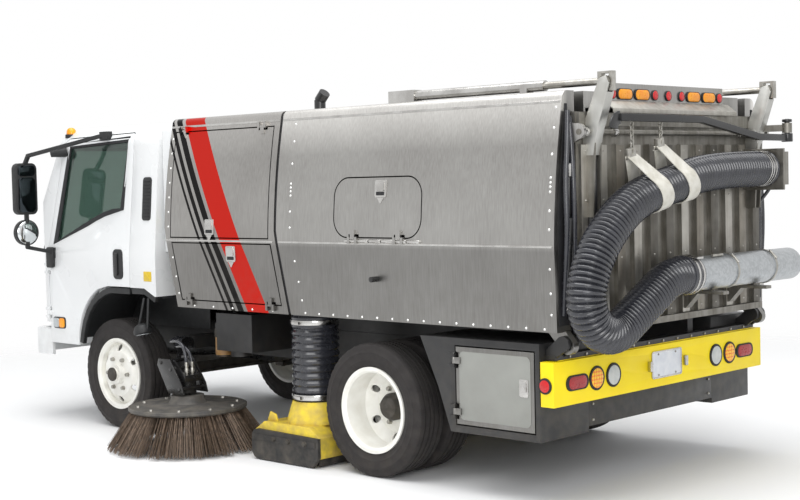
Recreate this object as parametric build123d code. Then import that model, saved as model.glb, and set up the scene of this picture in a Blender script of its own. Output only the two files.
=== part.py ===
from build123d import *
import math
import os

# Lengths in mm. X runs forward, Y to the left, Z up, from the ground under the middle of the whole truck.
WHEELBASE = 2769
FRONT_OVERHANG = 1095
HOSE_REACH = 1751
OVERALL_LENGTH = FRONT_OVERHANG + WHEELBASE + HOSE_REACH
FRONT_AXLE_X = OVERALL_LENGTH / 2 - FRONT_OVERHANG
PIN_PLAY = 0.3
DOOR_GAP = 8

TYRE_R = 405
TYRE_HALF = 113
BEAD_R = 250
AXLE_Z = TYRE_R
FRONT_WHEEL_Y = 832.5
REAR_WHEEL_Y = 825
TWIN_SPACING = 264
KINGPIN_Y = 690

RAIL_Y = (365, 435)
RAIL_Z = (560, 780)
SUBFRAME_Z = (780, 935)
BUMPER_HALF = 1073

BODY_BOTTOM = 950
BODY_TOP = 2240
SEAM_Z = 1410
BODY_WALL = 40
HOPPER_BACK = WHEELBASE + 1413
HOPPER_PIN = (WHEELBASE + 1421, 880)
DOOR_PIN = (WHEELBASE + 1500, 2015)
DOOR_FACE = WHEELBASE + 1457
DOOR_TOP = 2125
DOOR_HALF = 931
ARM_TIP = (WHEELBASE + 1601, 2280)
ARM_Y = 837

CAB_HALF = 1000
CAB_WALL = 45
CAB_BACK = 585
CAB_PIN = (-930, 790)
DOOR_HINGE_X = -772

BROOM_R = 0.2022 * WHEELBASE
BROOM_AT = (0.376 * WHEELBASE, CAB_HALF + 102)
BROOM_PIVOT = (0.188 * WHEELBASE, 640)
HEAD_X = (0.6212 * WHEELBASE, WHEELBASE - 439)
HEAD_HALF = 1085
SUCTION_AT = (WHEELBASE - 684, 870)
SUCTION_R = 155
DUCT_R = 140

HOSE_R = 103
HOSE_X = WHEELBASE + 1631
HOSE_START = (-722, 1800)
# bends of the stowed hose in order: radius and turn in degrees, or the length of a straight run and 0
HOSE_RUNS = ((6280, -11.2), (830, -50.8), (215, -146), (409, 0), (450, 28))
TUBE_R = 97
TUBE_END = -1000
BOOM_PIVOT = (WHEELBASE + 1691, -900)

nodes = {}


def behind(distance):
    """X of a place that far behind the front axle."""
    return FRONT_AXLE_X - distance


def aft(distance):
    """Distance behind the front axle of a place that far behind the rear axle."""
    return WHEELBASE + distance


def amid(share):
    """Distance behind the front axle of a place between the axles."""
    return WHEELBASE * share


def block(x, y, z):
    """Box between three pairs of bounds; x counts back from the front axle."""
    low, high = sorted((behind(x[0]), behind(x[1])))
    y = sorted(y)
    z = sorted(z)
    solid = Solid.make_box(high - low, y[1] - y[0], z[1] - z[0])
    return solid.moved(Location((low, y[0], z[0])))


def rod(start, end, radius):
    """Round bar between two points; x counts back from the front axle."""
    a = Vector(behind(start[0]), start[1], start[2])
    b = Vector(behind(end[0]), end[1], end[2])
    return Solid.make_cylinder(radius, (b - a).length, Plane(origin=a, z_dir=b - a))


def pipe(start, end, outer, inner):
    """Round tube between two points."""
    return rod(start, end, outer) - rod(start, end, inner)


def bar(start, end, width, depth):
    """Square-cut bar between two points, `width` along Y or X and `depth` across it."""
    a = Vector(behind(start[0]), start[1], start[2])
    b = Vector(behind(end[0]), end[1], end[2])
    run = b - a
    side = Vector(0, 1, 0) if abs(run.Y) < 0.9 * run.length else Vector(1, 0, 0)
    plane = Plane(origin=a, x_dir=side - run * (side.dot(run) / run.length ** 2), z_dir=run)
    face = plane * Rectangle(width, depth)
    return Solid.extrude(face.faces()[0], run)


def contour(plane, start, *steps):
    """Face inside a closed outline of lines (u, v) and arcs ((via), (end)) on a plane."""
    place = plane.from_local_coords
    at = start
    edges = []
    for step in steps + (start,):
        if isinstance(step[0], tuple):
            via, end = step
            edges.append(Edge.make_three_point_arc(place((*at, 0)), place((*via, 0)), place((*end, 0))))
        else:
            end = step
            if end != at:
                edges.append(Edge.make_line(place((*at, 0)), place((*end, 0))))
        at = end
    return Face(Wire(edges))


def rounded(u, v, radius):
    """Outline of a rectangle with rounded corners."""
    (a, b), (c, d) = u, v
    r = radius
    k = r * (1 - math.sqrt(0.5))
    return [(a + r, c), (b - r, c), ((b - k, c + k), (b, c + r)), (b, d - r), ((b - k, d - k), (b - r, d)),
            (a + r, d), ((a + k, d - k), (a, d - r)), (a, c + r), ((a + k, c + k), (a + r, c))]


def side_slab(points, y):
    """Outline of (behind, z) points extruded between two Y bounds."""
    plane = Plane(origin=(FRONT_AXLE_X, y[0], 0), x_dir=(-1, 0, 0), z_dir=(0, 1, 0))
    face = contour(plane, *points)
    return Solid.extrude(face, Vector(0, y[1] - y[0], 0))


def plan_slab(points, z):
    """Outline of (behind, y) points extruded between two heights."""
    plane = Plane(origin=(FRONT_AXLE_X, 0, z[0]), x_dir=(-1, 0, 0), z_dir=(0, 0, -1))
    face = contour(plane, *points)
    return Solid.extrude(face, Vector(0, 0, z[1] - z[0]))


def end_slab(points, x):
    """Outline of (y, z) points extruded between two distances behind the front axle."""
    plane = Plane(origin=(behind(x[0]), 0, 0), x_dir=(0, 1, 0), z_dir=(1, 0, 0))
    face = contour(plane, *points)
    return Solid.extrude(face, Vector(x[0] - x[1], 0, 0))


def spun(x, y, z, profile, outward=1):
    """Profile of (radius, along) points turned about an axis along Y."""
    plane = Plane(origin=(behind(x), y, z), x_dir=(1, 0, 0), z_dir=(0, 0, outward))
    return revolve(contour(plane, *profile), axis=Axis((behind(x), y, z), (0, 1, 0)))


def turned(x, y, profile):
    """Profile of (radius, z) points turned about an upright axis."""
    plane = Plane(origin=(behind(x), y, 0), x_dir=(1, 0, 0), z_dir=(0, -1, 0))
    return revolve(contour(plane, *profile), axis=Axis((behind(x), y, 0), (0, 0, 1)))


def other_side(shape):
    """Copy of a left-hand shape on the right."""
    return mirror(shape, about=Plane.XZ)


def add(name, *shapes):
    """Keep shapes as the solids of one node."""
    solids = []
    for shape in shapes:
        solids.extend(shape.solids())
    nodes[name] = solids[0] if len(solids) == 1 else Compound(children=solids)


def add_pair(name, *shapes):
    """Left node and its mirrored right node."""
    add(name + "_left", *shapes)
    add(name + "_right", *[other_side(shape) for shape in shapes])


def add_both(name, *shapes):
    """One node holding left shapes and their mirrored copies."""
    add(name, *shapes, *[other_side(shape) for shape in shapes])


def fused(first, *rest):
    """Union of shapes."""
    return first.fuse(*rest) if rest else first


def level_hinge(y, z, places, wall_above):
    """Ears, door knuckles with pins, reliefs in the door and the bore of a hinge along X on the left side."""
    ears = []
    knuckles = []
    reliefs = []
    for x in places:
        wall = (z - 9, z + 32) if wall_above else (z - 32, z + 9)
        leaf = (z - 48, z) if wall_above else (z, z + 48)
        for start in (x, x + 60):
            ears.append(block((start, start + 20), (y - 22, y + 9), wall))
        pin = rod((x - 1, y, z), (x + 81, y, z), 6)
        barrel = rod((x + 22, y, z), (x + 58, y, z), 9)
        knuckles.append(fused(pin, barrel, block((x + 22, x + 58), (y - 16, y + 5), leaf)))
        reliefs.append(block((x - 4, x + 84), (y - 70, y + 30), (z - 24, z + 24)))
    bore = rod((places[0] - 60, y, z), (places[-1] + 140, y, z), 6 + PIN_PLAY)
    return ears, knuckles, reliefs, bore


def upright_hinge(x, y, places):
    """The same for a hinge along Z, with the wall ahead of the pin and the door behind it."""
    ears = []
    knuckles = []
    reliefs = []
    for z in places:
        for start in (z, z + 60):
            ears.append(block((x - 32, x + 9), (y - 22, y + 9), (start, start + 20)))
        pin = rod((x, y, z - 1), (x, y, z + 81), 6)
        barrel = rod((x, y, z + 22), (x, y, z + 58), 9)
        knuckles.append(fused(pin, barrel, block((x, x + 48), (y - 16, y + 5), (z + 22, z + 58))))
        reliefs.append(block((x - 24, x + 24), (y - 70, y + 30), (z - 4, z + 84)))
    bore = rod((x, y, places[0] - 60), (x, y, places[-1] + 140), 6 + PIN_PLAY)
    return ears, knuckles, reliefs, bore


# Running gear

def tyre(x, y):
    return spun(x, y, AXLE_Z, [
        (BEAD_R, -86), (264, -86), ((322, -TYRE_HALF), (378, -100)), ((398, -92), (TYRE_R, -72)),
        (TYRE_R, 72), ((398, 92), (378, 100)), ((322, TYRE_HALF), (264, 86)), (BEAD_R, 86)])


def rim(x, y, outward, disc, joint):
    """Wheel with its disc at `disc` and the disc's foot on the barrel at `joint`, outward from the middle."""
    wheel = spun(x, y, AXLE_Z, [
        (82, disc + 6), (165, disc + 6), (228, joint + 7), (228, 87), (240, 100), (262, 100), (262, 87),
        (BEAD_R, 87), (BEAD_R, -87), (262, -87), (262, -100), (240, -100), (228, -87), (228, joint - 7),
        (165, disc - 6), (82, disc - 6)], outward)
    low = y + outward * (min(disc, joint) - 20)
    high = y + outward * (max(disc, joint) + 20)
    holes = []
    for turn in range(6):
        angle = math.radians(60 * turn + 30)
        u = 190 * math.cos(angle)
        w = 190 * math.sin(angle)
        holes.append(rod((x + u, low, AXLE_Z + w), (x + u, high, AXLE_Z + w), 24))
    return wheel.cut(*holes)


def build_wheels():
    add_pair("front_tyre", tyre(0, FRONT_WHEEL_Y))
    y = FRONT_WHEEL_Y
    bore = 40 + PIN_PLAY
    hub = spun(0, y, AXLE_Z, [(bore, -70), (75, -70), (82, -40), (82, 95), (72, 130), (bore, 130)])
    cap = rod((0, y + 126, AXLE_Z), (0, y + 150, AXLE_Z), 46)
    add_pair("front_wheel", fused(rim(0, y, 1, 89, 45), hub, cap))
    outer = REAR_WHEEL_Y + TWIN_SPACING / 2
    inner = REAR_WHEEL_Y - TWIN_SPACING / 2
    add_pair("rear_tyres", tyre(WHEELBASE, outer), tyre(WHEELBASE, inner))
    bore = 50 + PIN_PLAY
    hub = spun(WHEELBASE, REAR_WHEEL_Y, AXLE_Z, [
        (bore, -150), (70, -150), (82, -120), (82, 12), (76, 75), (60, 95), (0, 95), (0, 52), (bore, 52)])
    wheels = fused(rim(WHEELBASE, outer, 1, -126, -78), rim(WHEELBASE, inner, 1, 126, 78), hub)
    add_pair("rear_wheels", wheels)


def build_axles():
    beam = fused(block((-38, 38), (-640, 640), (330, 420)), block((-60, 60), (365, 435), (420, 450)),
                 block((-60, 60), (-435, -365), (420, 450)))
    beam = beam - block((-50, -16), (-600, 600), (350, 400)) - block((16, 50), (-600, 600), (350, 400))
    for side in (1, -1):
        boss = rod((0, side * KINGPIN_Y, 334), (0, side * KINGPIN_Y, 476), 42)
        neck = block((-34, 34), (side * 600, side * KINGPIN_Y), (350, 450))
        pin = rod((0, side * KINGPIN_Y, 284), (0, side * KINGPIN_Y, 520), 18)
        beam = fused(beam, neck, boss, pin)
    ears = fused(block((-46, 46), (645, 748), (477, 507)), block((-46, 46), (645, 748), (293, 323)),
                 block((-46, 46), (738, 758), (293, 507)),
                 rod((0, 740, AXLE_Z), (0, 930, AXLE_Z), 40))
    ears = ears - rod((0, KINGPIN_Y, 280), (0, KINGPIN_Y, 530), 18 + PIN_PLAY)
    add_pair("knuckle", ears)

    tube = rod((WHEELBASE, -600, AXLE_Z), (WHEELBASE, 600, AXLE_Z), 66)
    spindle = rod((WHEELBASE, -870, AXLE_Z), (WHEELBASE, 870, AXLE_Z), 50)
    banjo = spun(WHEELBASE, 0, AXLE_Z, [(0, -170), (90, -170), (185, -70), (185, 70), (90, 170), (0, 170)])
    nose = rod((aft(-330), 0, AXLE_Z + 20), (aft(-100), 0, AXLE_Z + 5), 70)
    pads = [block((aft(-60), aft(60)), (s * 450, s * 520), (440, 480)) for s in (1, -1)]
    shaft = rod((905, 0, 590), (aft(-300), 0, AXLE_Z + 20), 45)
    rear = fused(tube, spindle, banjo, nose, shaft, *pads)

    springs = []
    # axle place behind the front axle, seat height, height of the ends, Y of both edges, half length
    for x, seat, end_z, y0, y1, reach in ((0, 450, 505, 365, 435, 560), (WHEELBASE, 480, 545, 450, 520, 620)):
        leaf = side_slab([(x - reach, end_z), ((x, seat), (x + reach, end_z)), (x + reach, end_z + 30),
                          ((x, seat + 50), (x - reach, end_z + 30))], (y0, y1))
        leaf = leaf + block((x - 60, x + 60), (y0, y1), (seat, seat + 40))
        for end in (-1, 1):
            place = (x + end * reach - 25, x + end * reach + 25)
            if y0 > RAIL_Y[1]:
                hanger = fused(block(place, (y0, y1), (545, 640)), block(place, (RAIL_Y[1], y1), (590, 640)))
            else:
                hanger = block(place, (y0, y1), (510, RAIL_Z[0]))
            leaf = fused(leaf, hanger)
        springs.append(leaf)
    add("axles_and_springs", beam, rear, *springs, *[other_side(spring) for spring in springs])


# Frame

def build_frame():
    rails = []
    for side in (1, -1):
        rail = block((-940, aft(1291)), (side * RAIL_Y[0], side * RAIL_Y[1]), RAIL_Z)
        rail = rail - block((-960, aft(1331)), (side * (RAIL_Y[0] - 5), side * (RAIL_Y[1] - 8)),
                            (RAIL_Z[0] + 8, RAIL_Z[1] - 8))
        rail = rail - block((-960, -915), (side * 300, side * 500), (712, 774))
        upper = fused(block((830, aft(1301)), (side * 372, side * 428), SUBFRAME_Z),
                      block((960, aft(-779)), (side * 372, side * 428), (SUBFRAME_Z[1], BODY_BOTTOM)))
        boss = fused(rod((CAB_PIN[0], side * 365, CAB_PIN[1]), (CAB_PIN[0], side * 435, CAB_PIN[1]), 30),
                     block((-935, -895), (side * 365, side * 435), (775, 800)))
        hole = rod((CAB_PIN[0], side * 340, CAB_PIN[1]), (CAB_PIN[0], side * 460, CAB_PIN[1]), 16 + PIN_PLAY)
        rails.append(fused(rail, upper, boss) - hole)
    reach = RAIL_Y[0] + 62
    places = (-930, 930, amid(0.592), aft(581), aft(1216))
    crosses = [block((x, x + 70), (-reach, reach), (650, 740)) for x in places]
    tilt_rail = block((aft(1299), aft(1369)), (-1024, 1024), (795, 822))
    lugs = []
    pin_x, pin_z = HOPPER_PIN
    lug = [(pin_x - 118, 810), (pin_x - 118, 850), (pin_x - 40, 915), ((pin_x + 35, pin_z), (pin_x, 845)),
           (pin_x - 52, 810)]
    for side in (1, -1):
        for y in ((925, 950), (1002, 1022)):
            lugs.append(side_slab(lug, (side * y[0], side * y[1])))
        lugs.append(rod((pin_x, side * 925, pin_z), (pin_x, side * 1022, pin_z), 20))
    mount_x, mount_z = BROOM_PIVOT
    mount = block((mount_x - 50, mount_x + 50), (434, 660), (600, 690))
    mount = mount - rod((mount_x, 480, mount_z), (mount_x, 700, mount_z), 18 + PIN_PLAY)
    add("frame", fused(rails[0], rails[1], *crosses, tilt_rail, *lugs, mount, other_side(mount)))
    engine = fused(block((-350, 430), (-330, 330), (480, 1000)), block((430, 900), (-190, 190), (480, 820)))
    feet = [block((20, 100), (s * 325, s * 427), (640, 700)) for s in (1, -1)]
    add("engine_and_gearbox", fused(engine, *feet))
    tank = block((amid(0.397), amid(0.592)), (-930, -435), (650, 900))
    reservoir = block((amid(0.408), amid(0.542)), (435, 905), (650, 905))
    dome = rod((amid(0.448), 780, 605), (amid(0.448), 780, 650), 75)
    canister = rod((amid(0.397), 820, 600), (amid(0.397), 820, 790), 55)
    carrier = block((amid(0.392), amid(0.408)), (760, 880), (790, 830))
    muffler = rod((amid(0.614), -560, 690), (amid(0.73), -560, 690), 105)
    strap = block((amid(0.66), amid(0.69)), (-560, -435), (690, 720))
    add("side_tanks", fused(reservoir, dome, carrier, canister), tank, fused(muffler, strap))


def build_bumpers():
    w = CAB_HALF
    nose = -FRONT_OVERHANG
    outline = [(-785, w - 20), (nose + 105, w - 20), ((nose + 35, w - 100), (nose + 25, w - 240)),
               ((nose, 0), (nose + 25, 240 - w)), ((nose + 35, 100 - w), (nose + 105, 20 - w)),
               (-785, 20 - w)]
    inner = [(-750, w - 45), (nose + 110, w - 45), ((nose + 57, w - 115), (nose + 50, w - 245)),
             ((nose + 25, 0), (nose + 50, 245 - w)), ((nose + 57, 115 - w), (nose + 110, 45 - w)),
             (-750, 45 - w)]
    shell = plan_slab(outline, (500, 700)) - plan_slab(inner, (490, 690))
    shell = shell - block((nose + 105, -700), (85 - w, w - 85), (680, 720))
    shell = shell - end_slab(rounded((-380, 380), (545, 645), 30), (nose - 50, nose + 60))
    stays = [block((nose + 35, -940), (s * 390, s * 435), (590, 690)) for s in (1, -1)]
    add("front_bumper", fused(shell, *stays))

    half = BUMPER_HALF
    rear = block((aft(1303), aft(1392)), (-half, half), (548, 790))
    rear = rear - block((aft(1291), aft(1380)), (12 - half, half - 12), (560, 778))
    stays = [block((aft(1291), aft(1381)), (s * 365, s * 435), (600, 760)) for s in (1, -1)]
    rear = fused(rear, *stays, block((aft(1306), aft(1369)), (-1000, 1000), (789, 795)))
    for y in (-89, 89):
        for z in (615.5, 736.5):
            rear = rear - rod((aft(1371), y, z), (aft(1401), y, z), 3.5)
    add("rear_bumper", rear)
    skirt = [(-1050, 548), (1050, 548), (1050, 360), (930, 360), ((880, 440), (800, 470)), (420, 470),
             ((340, 440), (300, 380)), (-300, 380), ((-340, 440), (-420, 470)), (-800, 470),
             ((-880, 440), (-930, 360)), (-1050, 360)]
    flap = end_slab(skirt, (aft(1359), aft(1371)))
    face = (aft(1392), aft(1407))
    red = fused(rod((face[0], 850, 665), (face[1], 850, 665), 45), block(face, (850, 935), (620, 710)),
                rod((face[0], 935, 665), (face[1], 935, 665), 45))
    marker = rod((aft(1335), half, 662), (aft(1335), half + 12, 662), 38)
    add_both("rear_lamps", red, marker, *[rod((face[0], y, 665), (face[1], y, 665), 52) for y in (735, 600)])
    return flap


def build_toolboxes(skirt):
    outline = [(aft(426), 885), (aft(1297), 885), (aft(1297), 350), (aft(651), 350), (aft(561), 600)]
    inside = [(aft(541), 845), (aft(1267), 845), (aft(1267), 390), (aft(679), 390), (aft(603), 610)]
    x = (aft(691), aft(1267))
    z = (390, 845)
    box = side_slab(outline, (640, 1074)) - side_slab(inside, (670, 1034))
    box = box - block(x, (1000, 1100), z)
    ears, knuckles, reliefs, bore = upright_hinge(x[0], 1083.5, (430, 720))
    hanger = block((aft(731), aft(1231)), (435, 645), (640, 700))
    box = fused(box, hanger, *ears) - bore
    g = DOOR_GAP
    lid = block((x[0] + g, x[1] - g), (1034, 1074), (z[0] + g, z[1] - g))
    lid = fused(lid.cut(*reliefs), *knuckles)
    add("toolboxes_and_skirt", box, other_side(box), skirt)
    add_pair("toolbox_door", lid)


# Cab

def cab_volume(inset):
    """Outer form of the cab, drawn in by an inset."""
    i = inset
    half = CAB_HALF - i
    top = CAB_HALF - 60 - i
    curve = CAB_HALF - 95 - i
    eave = CAB_HALF - 200 - i
    nose = CAB_HALF - 340
    front = [(half, 600 + i), (half, 1300), (top, 2060), ((curve, 2170 - i), (eave, 2220 - i)),
             ((0, 2255 - i), (-eave, 2220 - i)), ((-curve, 2170 - i), (-top, 2060)), (-half, 1300),
             (-half, 600 + i)]
    plan = [(CAB_BACK - i, half), (-780 + i, half), ((-945 + i, curve), (-1010 + i, nose)),
            ((-1045 + i, 0), (-1010 + i, -nose)), ((-945 + i, -curve), (-780 + i, -half)),
            (CAB_BACK - i, -half)]
    side = [(CAB_BACK - i, 560), (-1060 + i, 560), (-1060 + i, 1260), (-630 + i, 2175), (-560 + i, 2300),
            (CAB_BACK - i, 2300)]
    volume = end_slab(front, (-1200, 800)) & plan_slab(plan, (400, 2400))
    return volume & side_slab(side, (-half - 100, half + 100))


def door_outline(gap):
    g = gap
    front = DOOR_HINGE_X + DOOR_GAP - g
    return [(front, 1310), (front, 600 - g), (-392 + g, 600 - g), ((-330 + g, 850), (-130, 1030 - g)),
            (0, 1058 - g), (272 + g, 1058 - g), (290 + g, 2110), ((282 + g, 2150 + g), (250, 2165 + g)),
            (-540 - g, 2150 + g), (-595 - g, 2110)]


def door_zone(gap):
    """Space a left door takes in the cab's wall, wider where the wall leans in above the sill."""
    outline = door_outline(gap)
    low = side_slab(outline, (CAB_HALF - CAB_WALL - 0.9 * gap, CAB_HALF + 100))
    high = side_slab(outline, (CAB_HALF - 180, CAB_HALF + 100))
    return fused(low, high & block((-1200, 800), (CAB_HALF - 200, CAB_HALF + 200), (1300, 2400)))


WINDOW = [(178, 1620), (228, 2125), (-520, 2095), (-668, 1368), (-250, 1512), ((-60, 1580), (178, 1620))]


def build_cab():
    w = CAB_HALF
    wide = (-w - 100, w + 100)
    outer = cab_volume(0)
    inner = cab_volume(CAB_WALL)
    floor = [(CAB_BACK - CAB_WALL, 1100), (-340, 1100), (-490, 1010), (-490, 645), (-960, 645), (-1100, 1200),
             (-1100, 2300), (CAB_BACK - CAB_WALL, 2300)]
    inner = inner & side_slab(floor, (40 - w, w - 40))
    inner = inner - block((-1000, -300), (-535, 535), (600, 1100))
    skin = outer - inner
    tunnel = [block((-385, 700), wide, (400, 1000)), block((-972, 700), (-490, 490), (400, 1055))]
    arch = side_slab([(-465, 400), (-465, 580), (-385, 740), ((-280, 920), (-11, 1053)), (-11, 1055),
                      (446, 1055), (590, 990), (700, 990), (700, 400)], wide)
    lower = side_slab([(-1200, 400), (-745, 400), (-745, 755), (-985, 755), (-1040, 795), (-1200, 795)], wide)
    slots = [block((-1200, -900), (-430, 430), (z, z + 28)) for z in range(880, 1081, 50)]
    slots = [slot & (outer - cab_volume(14)) for slot in slots]
    screen_cut = end_slab([(120 - w, 1310), (w - 120, 1310), (w - 200, 2085), (200 - w, 2085)], (-1200, -500))
    back_cut = end_slab([(380 - w, 1560), (w - 380, 1560), (w - 410, 2060), (410 - w, 2060)], (400, 700))
    door_cut = door_zone(DOOR_GAP)
    shell = skin.cut(*tunnel, arch, lower, *slots, screen_cut, back_cut, door_cut, other_side(door_cut))
    shell = max(shell.solids(), key=lambda s: s.volume)
    mounts = []
    for side in (1, -1):
        pin = rod((CAB_PIN[0], side * 300, CAB_PIN[1]), (CAB_PIN[0], side * 434, CAB_PIN[1]), 16)
        mounts.append(fused(block((-1005, -915), (side * 300, side * 360), (760, 820)), pin))
    ears, knuckles, reliefs, bore = upright_hinge(DOOR_HINGE_X, w + 9.5, (790, 1130))
    shell = fused(shell, *mounts, *ears, *[other_side(ear) for ear in ears]).cut(bore, other_side(bore))
    add("cab_shell", shell)

    pane = cab_volume(8) - cab_volume(16)
    add("cab_glass", pane & screen_cut, pane & back_cut)

    opening = side_slab(WINDOW, (w - 300, w + 100))
    leaf = (skin & door_zone(0)) - opening
    leaf = max(leaf.solids(), key=lambda s: s.volume)
    door = fused(leaf.cut(*reliefs), *knuckles)
    add_pair("cab_door", door)
    add_pair("door_glass", (cab_volume(14) - cab_volume(20)) & opening)

    y = w + 250
    head = end_slab(rounded((y - 90, y + 90), (1590, 1975), 45), (-695, -640))
    round_head = rod((-690, y, 1455), (-650, y, 1455), 95)
    arm = [bar((-40, w - 70, 2170), (-600, y, 2030), 26, 26), bar((-600, y, 2035), (-655, y, 1965), 26, 26),
           bar((-655, y, 1610), (-655, y, 1340), 26, 26),
           bar((-655, y + 5, 1345), (-700, w - 15, 1290), 26, 26),
           block((-100, 0), (w - 85, w - 40), (2130, 2190)),
           block((-730, -670), (w - 15, w + 12), (1250, 1330))]
    add_pair("mirror", fused(head, round_head, *arm) - door)

    seats = []
    # Y of the seat's middle, half width
    for y, half in ((380 - w, 230), (0, 200), (w / 2, 230)):
        cushion = side_slab([(-160, 1100), (-160, 1290), ((-130, 1325), (-60, 1330)), (330, 1300),
                             (330, 1100)], (y - half, y + half))
        back = side_slab([(250, 1300), (380, 1300), (470, 1800), (380, 1800)], (y - half, y + half))
        rest = side_slab([(390, 1790), (470, 1790), (490, 1960), (410, 1960)], (y - 130, y + 130))
        seats.append(fused(cushion, back, rest))
    dash = side_slab([(-985, 1102), (-985, 1300), (-800, 1330), (-640, 1240), (-700, 1102)], (50 - w, w - 50))
    dash = dash & cab_volume(CAB_WALL)
    y = w / 2
    column = rod((-700, y, 1200), (-380, y, 1420), 32)
    wheel = Solid.make_torus(205, 16, Plane(origin=(behind(-380), y, 1420), z_dir=(-32, 0, 22)))
    spokes = []
    tilt = math.atan2(320, 220)
    for turn in (0, 120, 240):
        angle = math.radians(turn + 90)
        u = 200 * math.cos(angle)
        v = 200 * math.sin(angle)
        spokes.append(rod((-380, y, 1420), (-380 - v * math.cos(tilt), y + u, 1420 + v * math.sin(tilt)), 12))
    add("cab_interior", *seats, fused(dash, column, wheel, *spokes))

    lamp = [(w - 380, 800), (w - 120, 810), (w - 120, 970), (w - 380, 970)]
    head = (cab_volume(-8) - outer) & end_slab(lamp, (-1200, -880))
    dome = turned(-590, w - 125, [(0, 2168), (40, 2168), (40, 2205), ((29, 2232), (0, 2242))]) - outer
    dome = max(dome.solids(), key=lambda s: s.bounding_box().max.Z)
    add("cab_lamps", head, other_side(head), dome, other_side(dome))


# Body

def body_section(inset):
    i = inset
    return [(1063 - i, BODY_BOTTOM + i), (1077 - i, SEAM_Z), ((1047 - i, 1810), (985 - i, 2195 - i)),
            ((972 - i, 2227 - i), (940 - i, BODY_TOP - i)), (-940 + i, BODY_TOP - i),
            ((-972 + i, 2227 - i), (-985 + i, 2195 - i)), ((-1047 + i, 1810), (-1077 + i, SEAM_Z)),
            (-1063 + i, BODY_BOTTOM + i)]


def side_y(z):
    """Half width of the body at a height."""
    if z <= SEAM_Z:
        return 1063 + 14 * (z - BODY_BOTTOM) / (SEAM_Z - BODY_BOTTOM)
    arc = Edge.make_three_point_arc((1077, SEAM_Z), (1047, 1810), (985, 2195))
    centre = arc.arc_center
    return centre.X + math.sqrt(arc.radius ** 2 - (z - centre.Y) ** 2)


def body_volume(outline, inset):
    section = end_slab(body_section(inset), (500, aft(1831)))
    return section & side_slab(outline, (-1200, 1200))


def build_enclosure():
    back = aft(-827)
    foot = aft(-707)
    outline = [(815, 2300), (805, 1500), (925, 900), (foot, 900), (back, 1480), (back, 2300)]
    inside = [(856, 2300), (846, 1505), (960, 960), (foot - 47, 960), (back - 40, 1480), (back - 40, 2300)]
    shell = body_volume(outline, 0) - body_volume(inside, BODY_WALL)
    wall = body_volume(outline, 0) - body_volume(outline, BODY_WALL)
    left = 868
    right = back - 52
    low_right = back - 30
    upper = [(left, 1424), (right, 1424), (right, 2150), (left, 2150)]
    lower = [(left + 12, 1396), (low_right, 1396), (low_right + 80, 1000), (left + 95, 1000)]
    cuts = []
    for shape in (upper, lower):
        cuts.append(side_slab(shape, (900, 1100)))
        cuts.append(side_slab(shape, (-1100, -900)))
    shell = shell.cut(*cuts)
    g = DOOR_GAP
    up = wall & side_slab([(left + g, 1424 + g), (right - g, 1424 + g), (right - g, 2150 - g),
                           (left + g, 2150 - g)], (900, 1100))
    low = wall & side_slab([(left + 14 + g, 1396 - g), (low_right - g - 2, 1396 - g),
                            (low_right + 78 - g, 1000 + g), (left + 97 + g, 1000 + g)], (900, 1100))
    # door name, leaf, height of the hinge line, places along it, whether the wall is above it
    for name, leaf, z, places, above in (("enclosure_upper_door", up, 2150, (930, right - 150), True),
                                         ("enclosure_lower_door", low, 1000, (1020, low_right - 62), False)):
        ears, knuckles, reliefs, bore = level_hinge(side_y(z) + 9.5, z, places, above)
        shell = fused(shell, *ears, *[other_side(ear) for ear in ears]).cut(bore, other_side(bore))
        add_pair(name, fused(leaf.cut(*reliefs), *knuckles))
    add("enclosure_shell", shell)

    seal = body_volume([(back, 2300), (back, 1480), (foot, 900), (foot + 16, 900), (back + 16, 1480),
                        (back + 16, 2300)], 8)
    hole = [(back - 42, 2300), (back - 42, 1400), (foot - 72, 900), (foot + 88, 900), (back + 58, 1480),
            (back + 58, 2300)]
    add("hopper_seal", seal - body_volume(hole, 60))
    half = CAB_HALF - 70
    shroud = block((612, 812), (-half, half), (1313, 2175))
    shroud = shroud - block((640, 830), (30 - half, half - 30), (1343, 2145))
    add("front_shroud", shroud & side_slab([(600, 1300), (600, 2200), (813, 2200), (804, 1500), (842, 1313)],
                                           (-half, half)))
    bay = (846, back - 40)
    span = bay[1] - bay[0]
    engine = block((bay[0] + 0.108 * span, bay[0] + 0.6 * span), (-330, 330), (990, 1760))
    drum = rod((bay[0] + 0.638 * span, 0, 1620), (bay[0] + 0.979 * span, 0, 1620), 420)
    stand = block((bay[0] + 0.676 * span, bay[0] + 0.941 * span), (-300, 300), (990, 1300))
    x = back - 151
    stack = fused(rod((x, 500, BODY_TOP), (x, 500, 2330), 38), rod((x, 500, 2325), (x + 49, 500, 2375), 38))
    stack = stack - rod((x, 500, 2260), (x, 500, 2312), 30)
    flange = rod((x, 500, BODY_TOP), (x, 500, 2252), 70)
    add("power_unit", engine, fused(drum, stand), fused(stack, flange))


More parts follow.
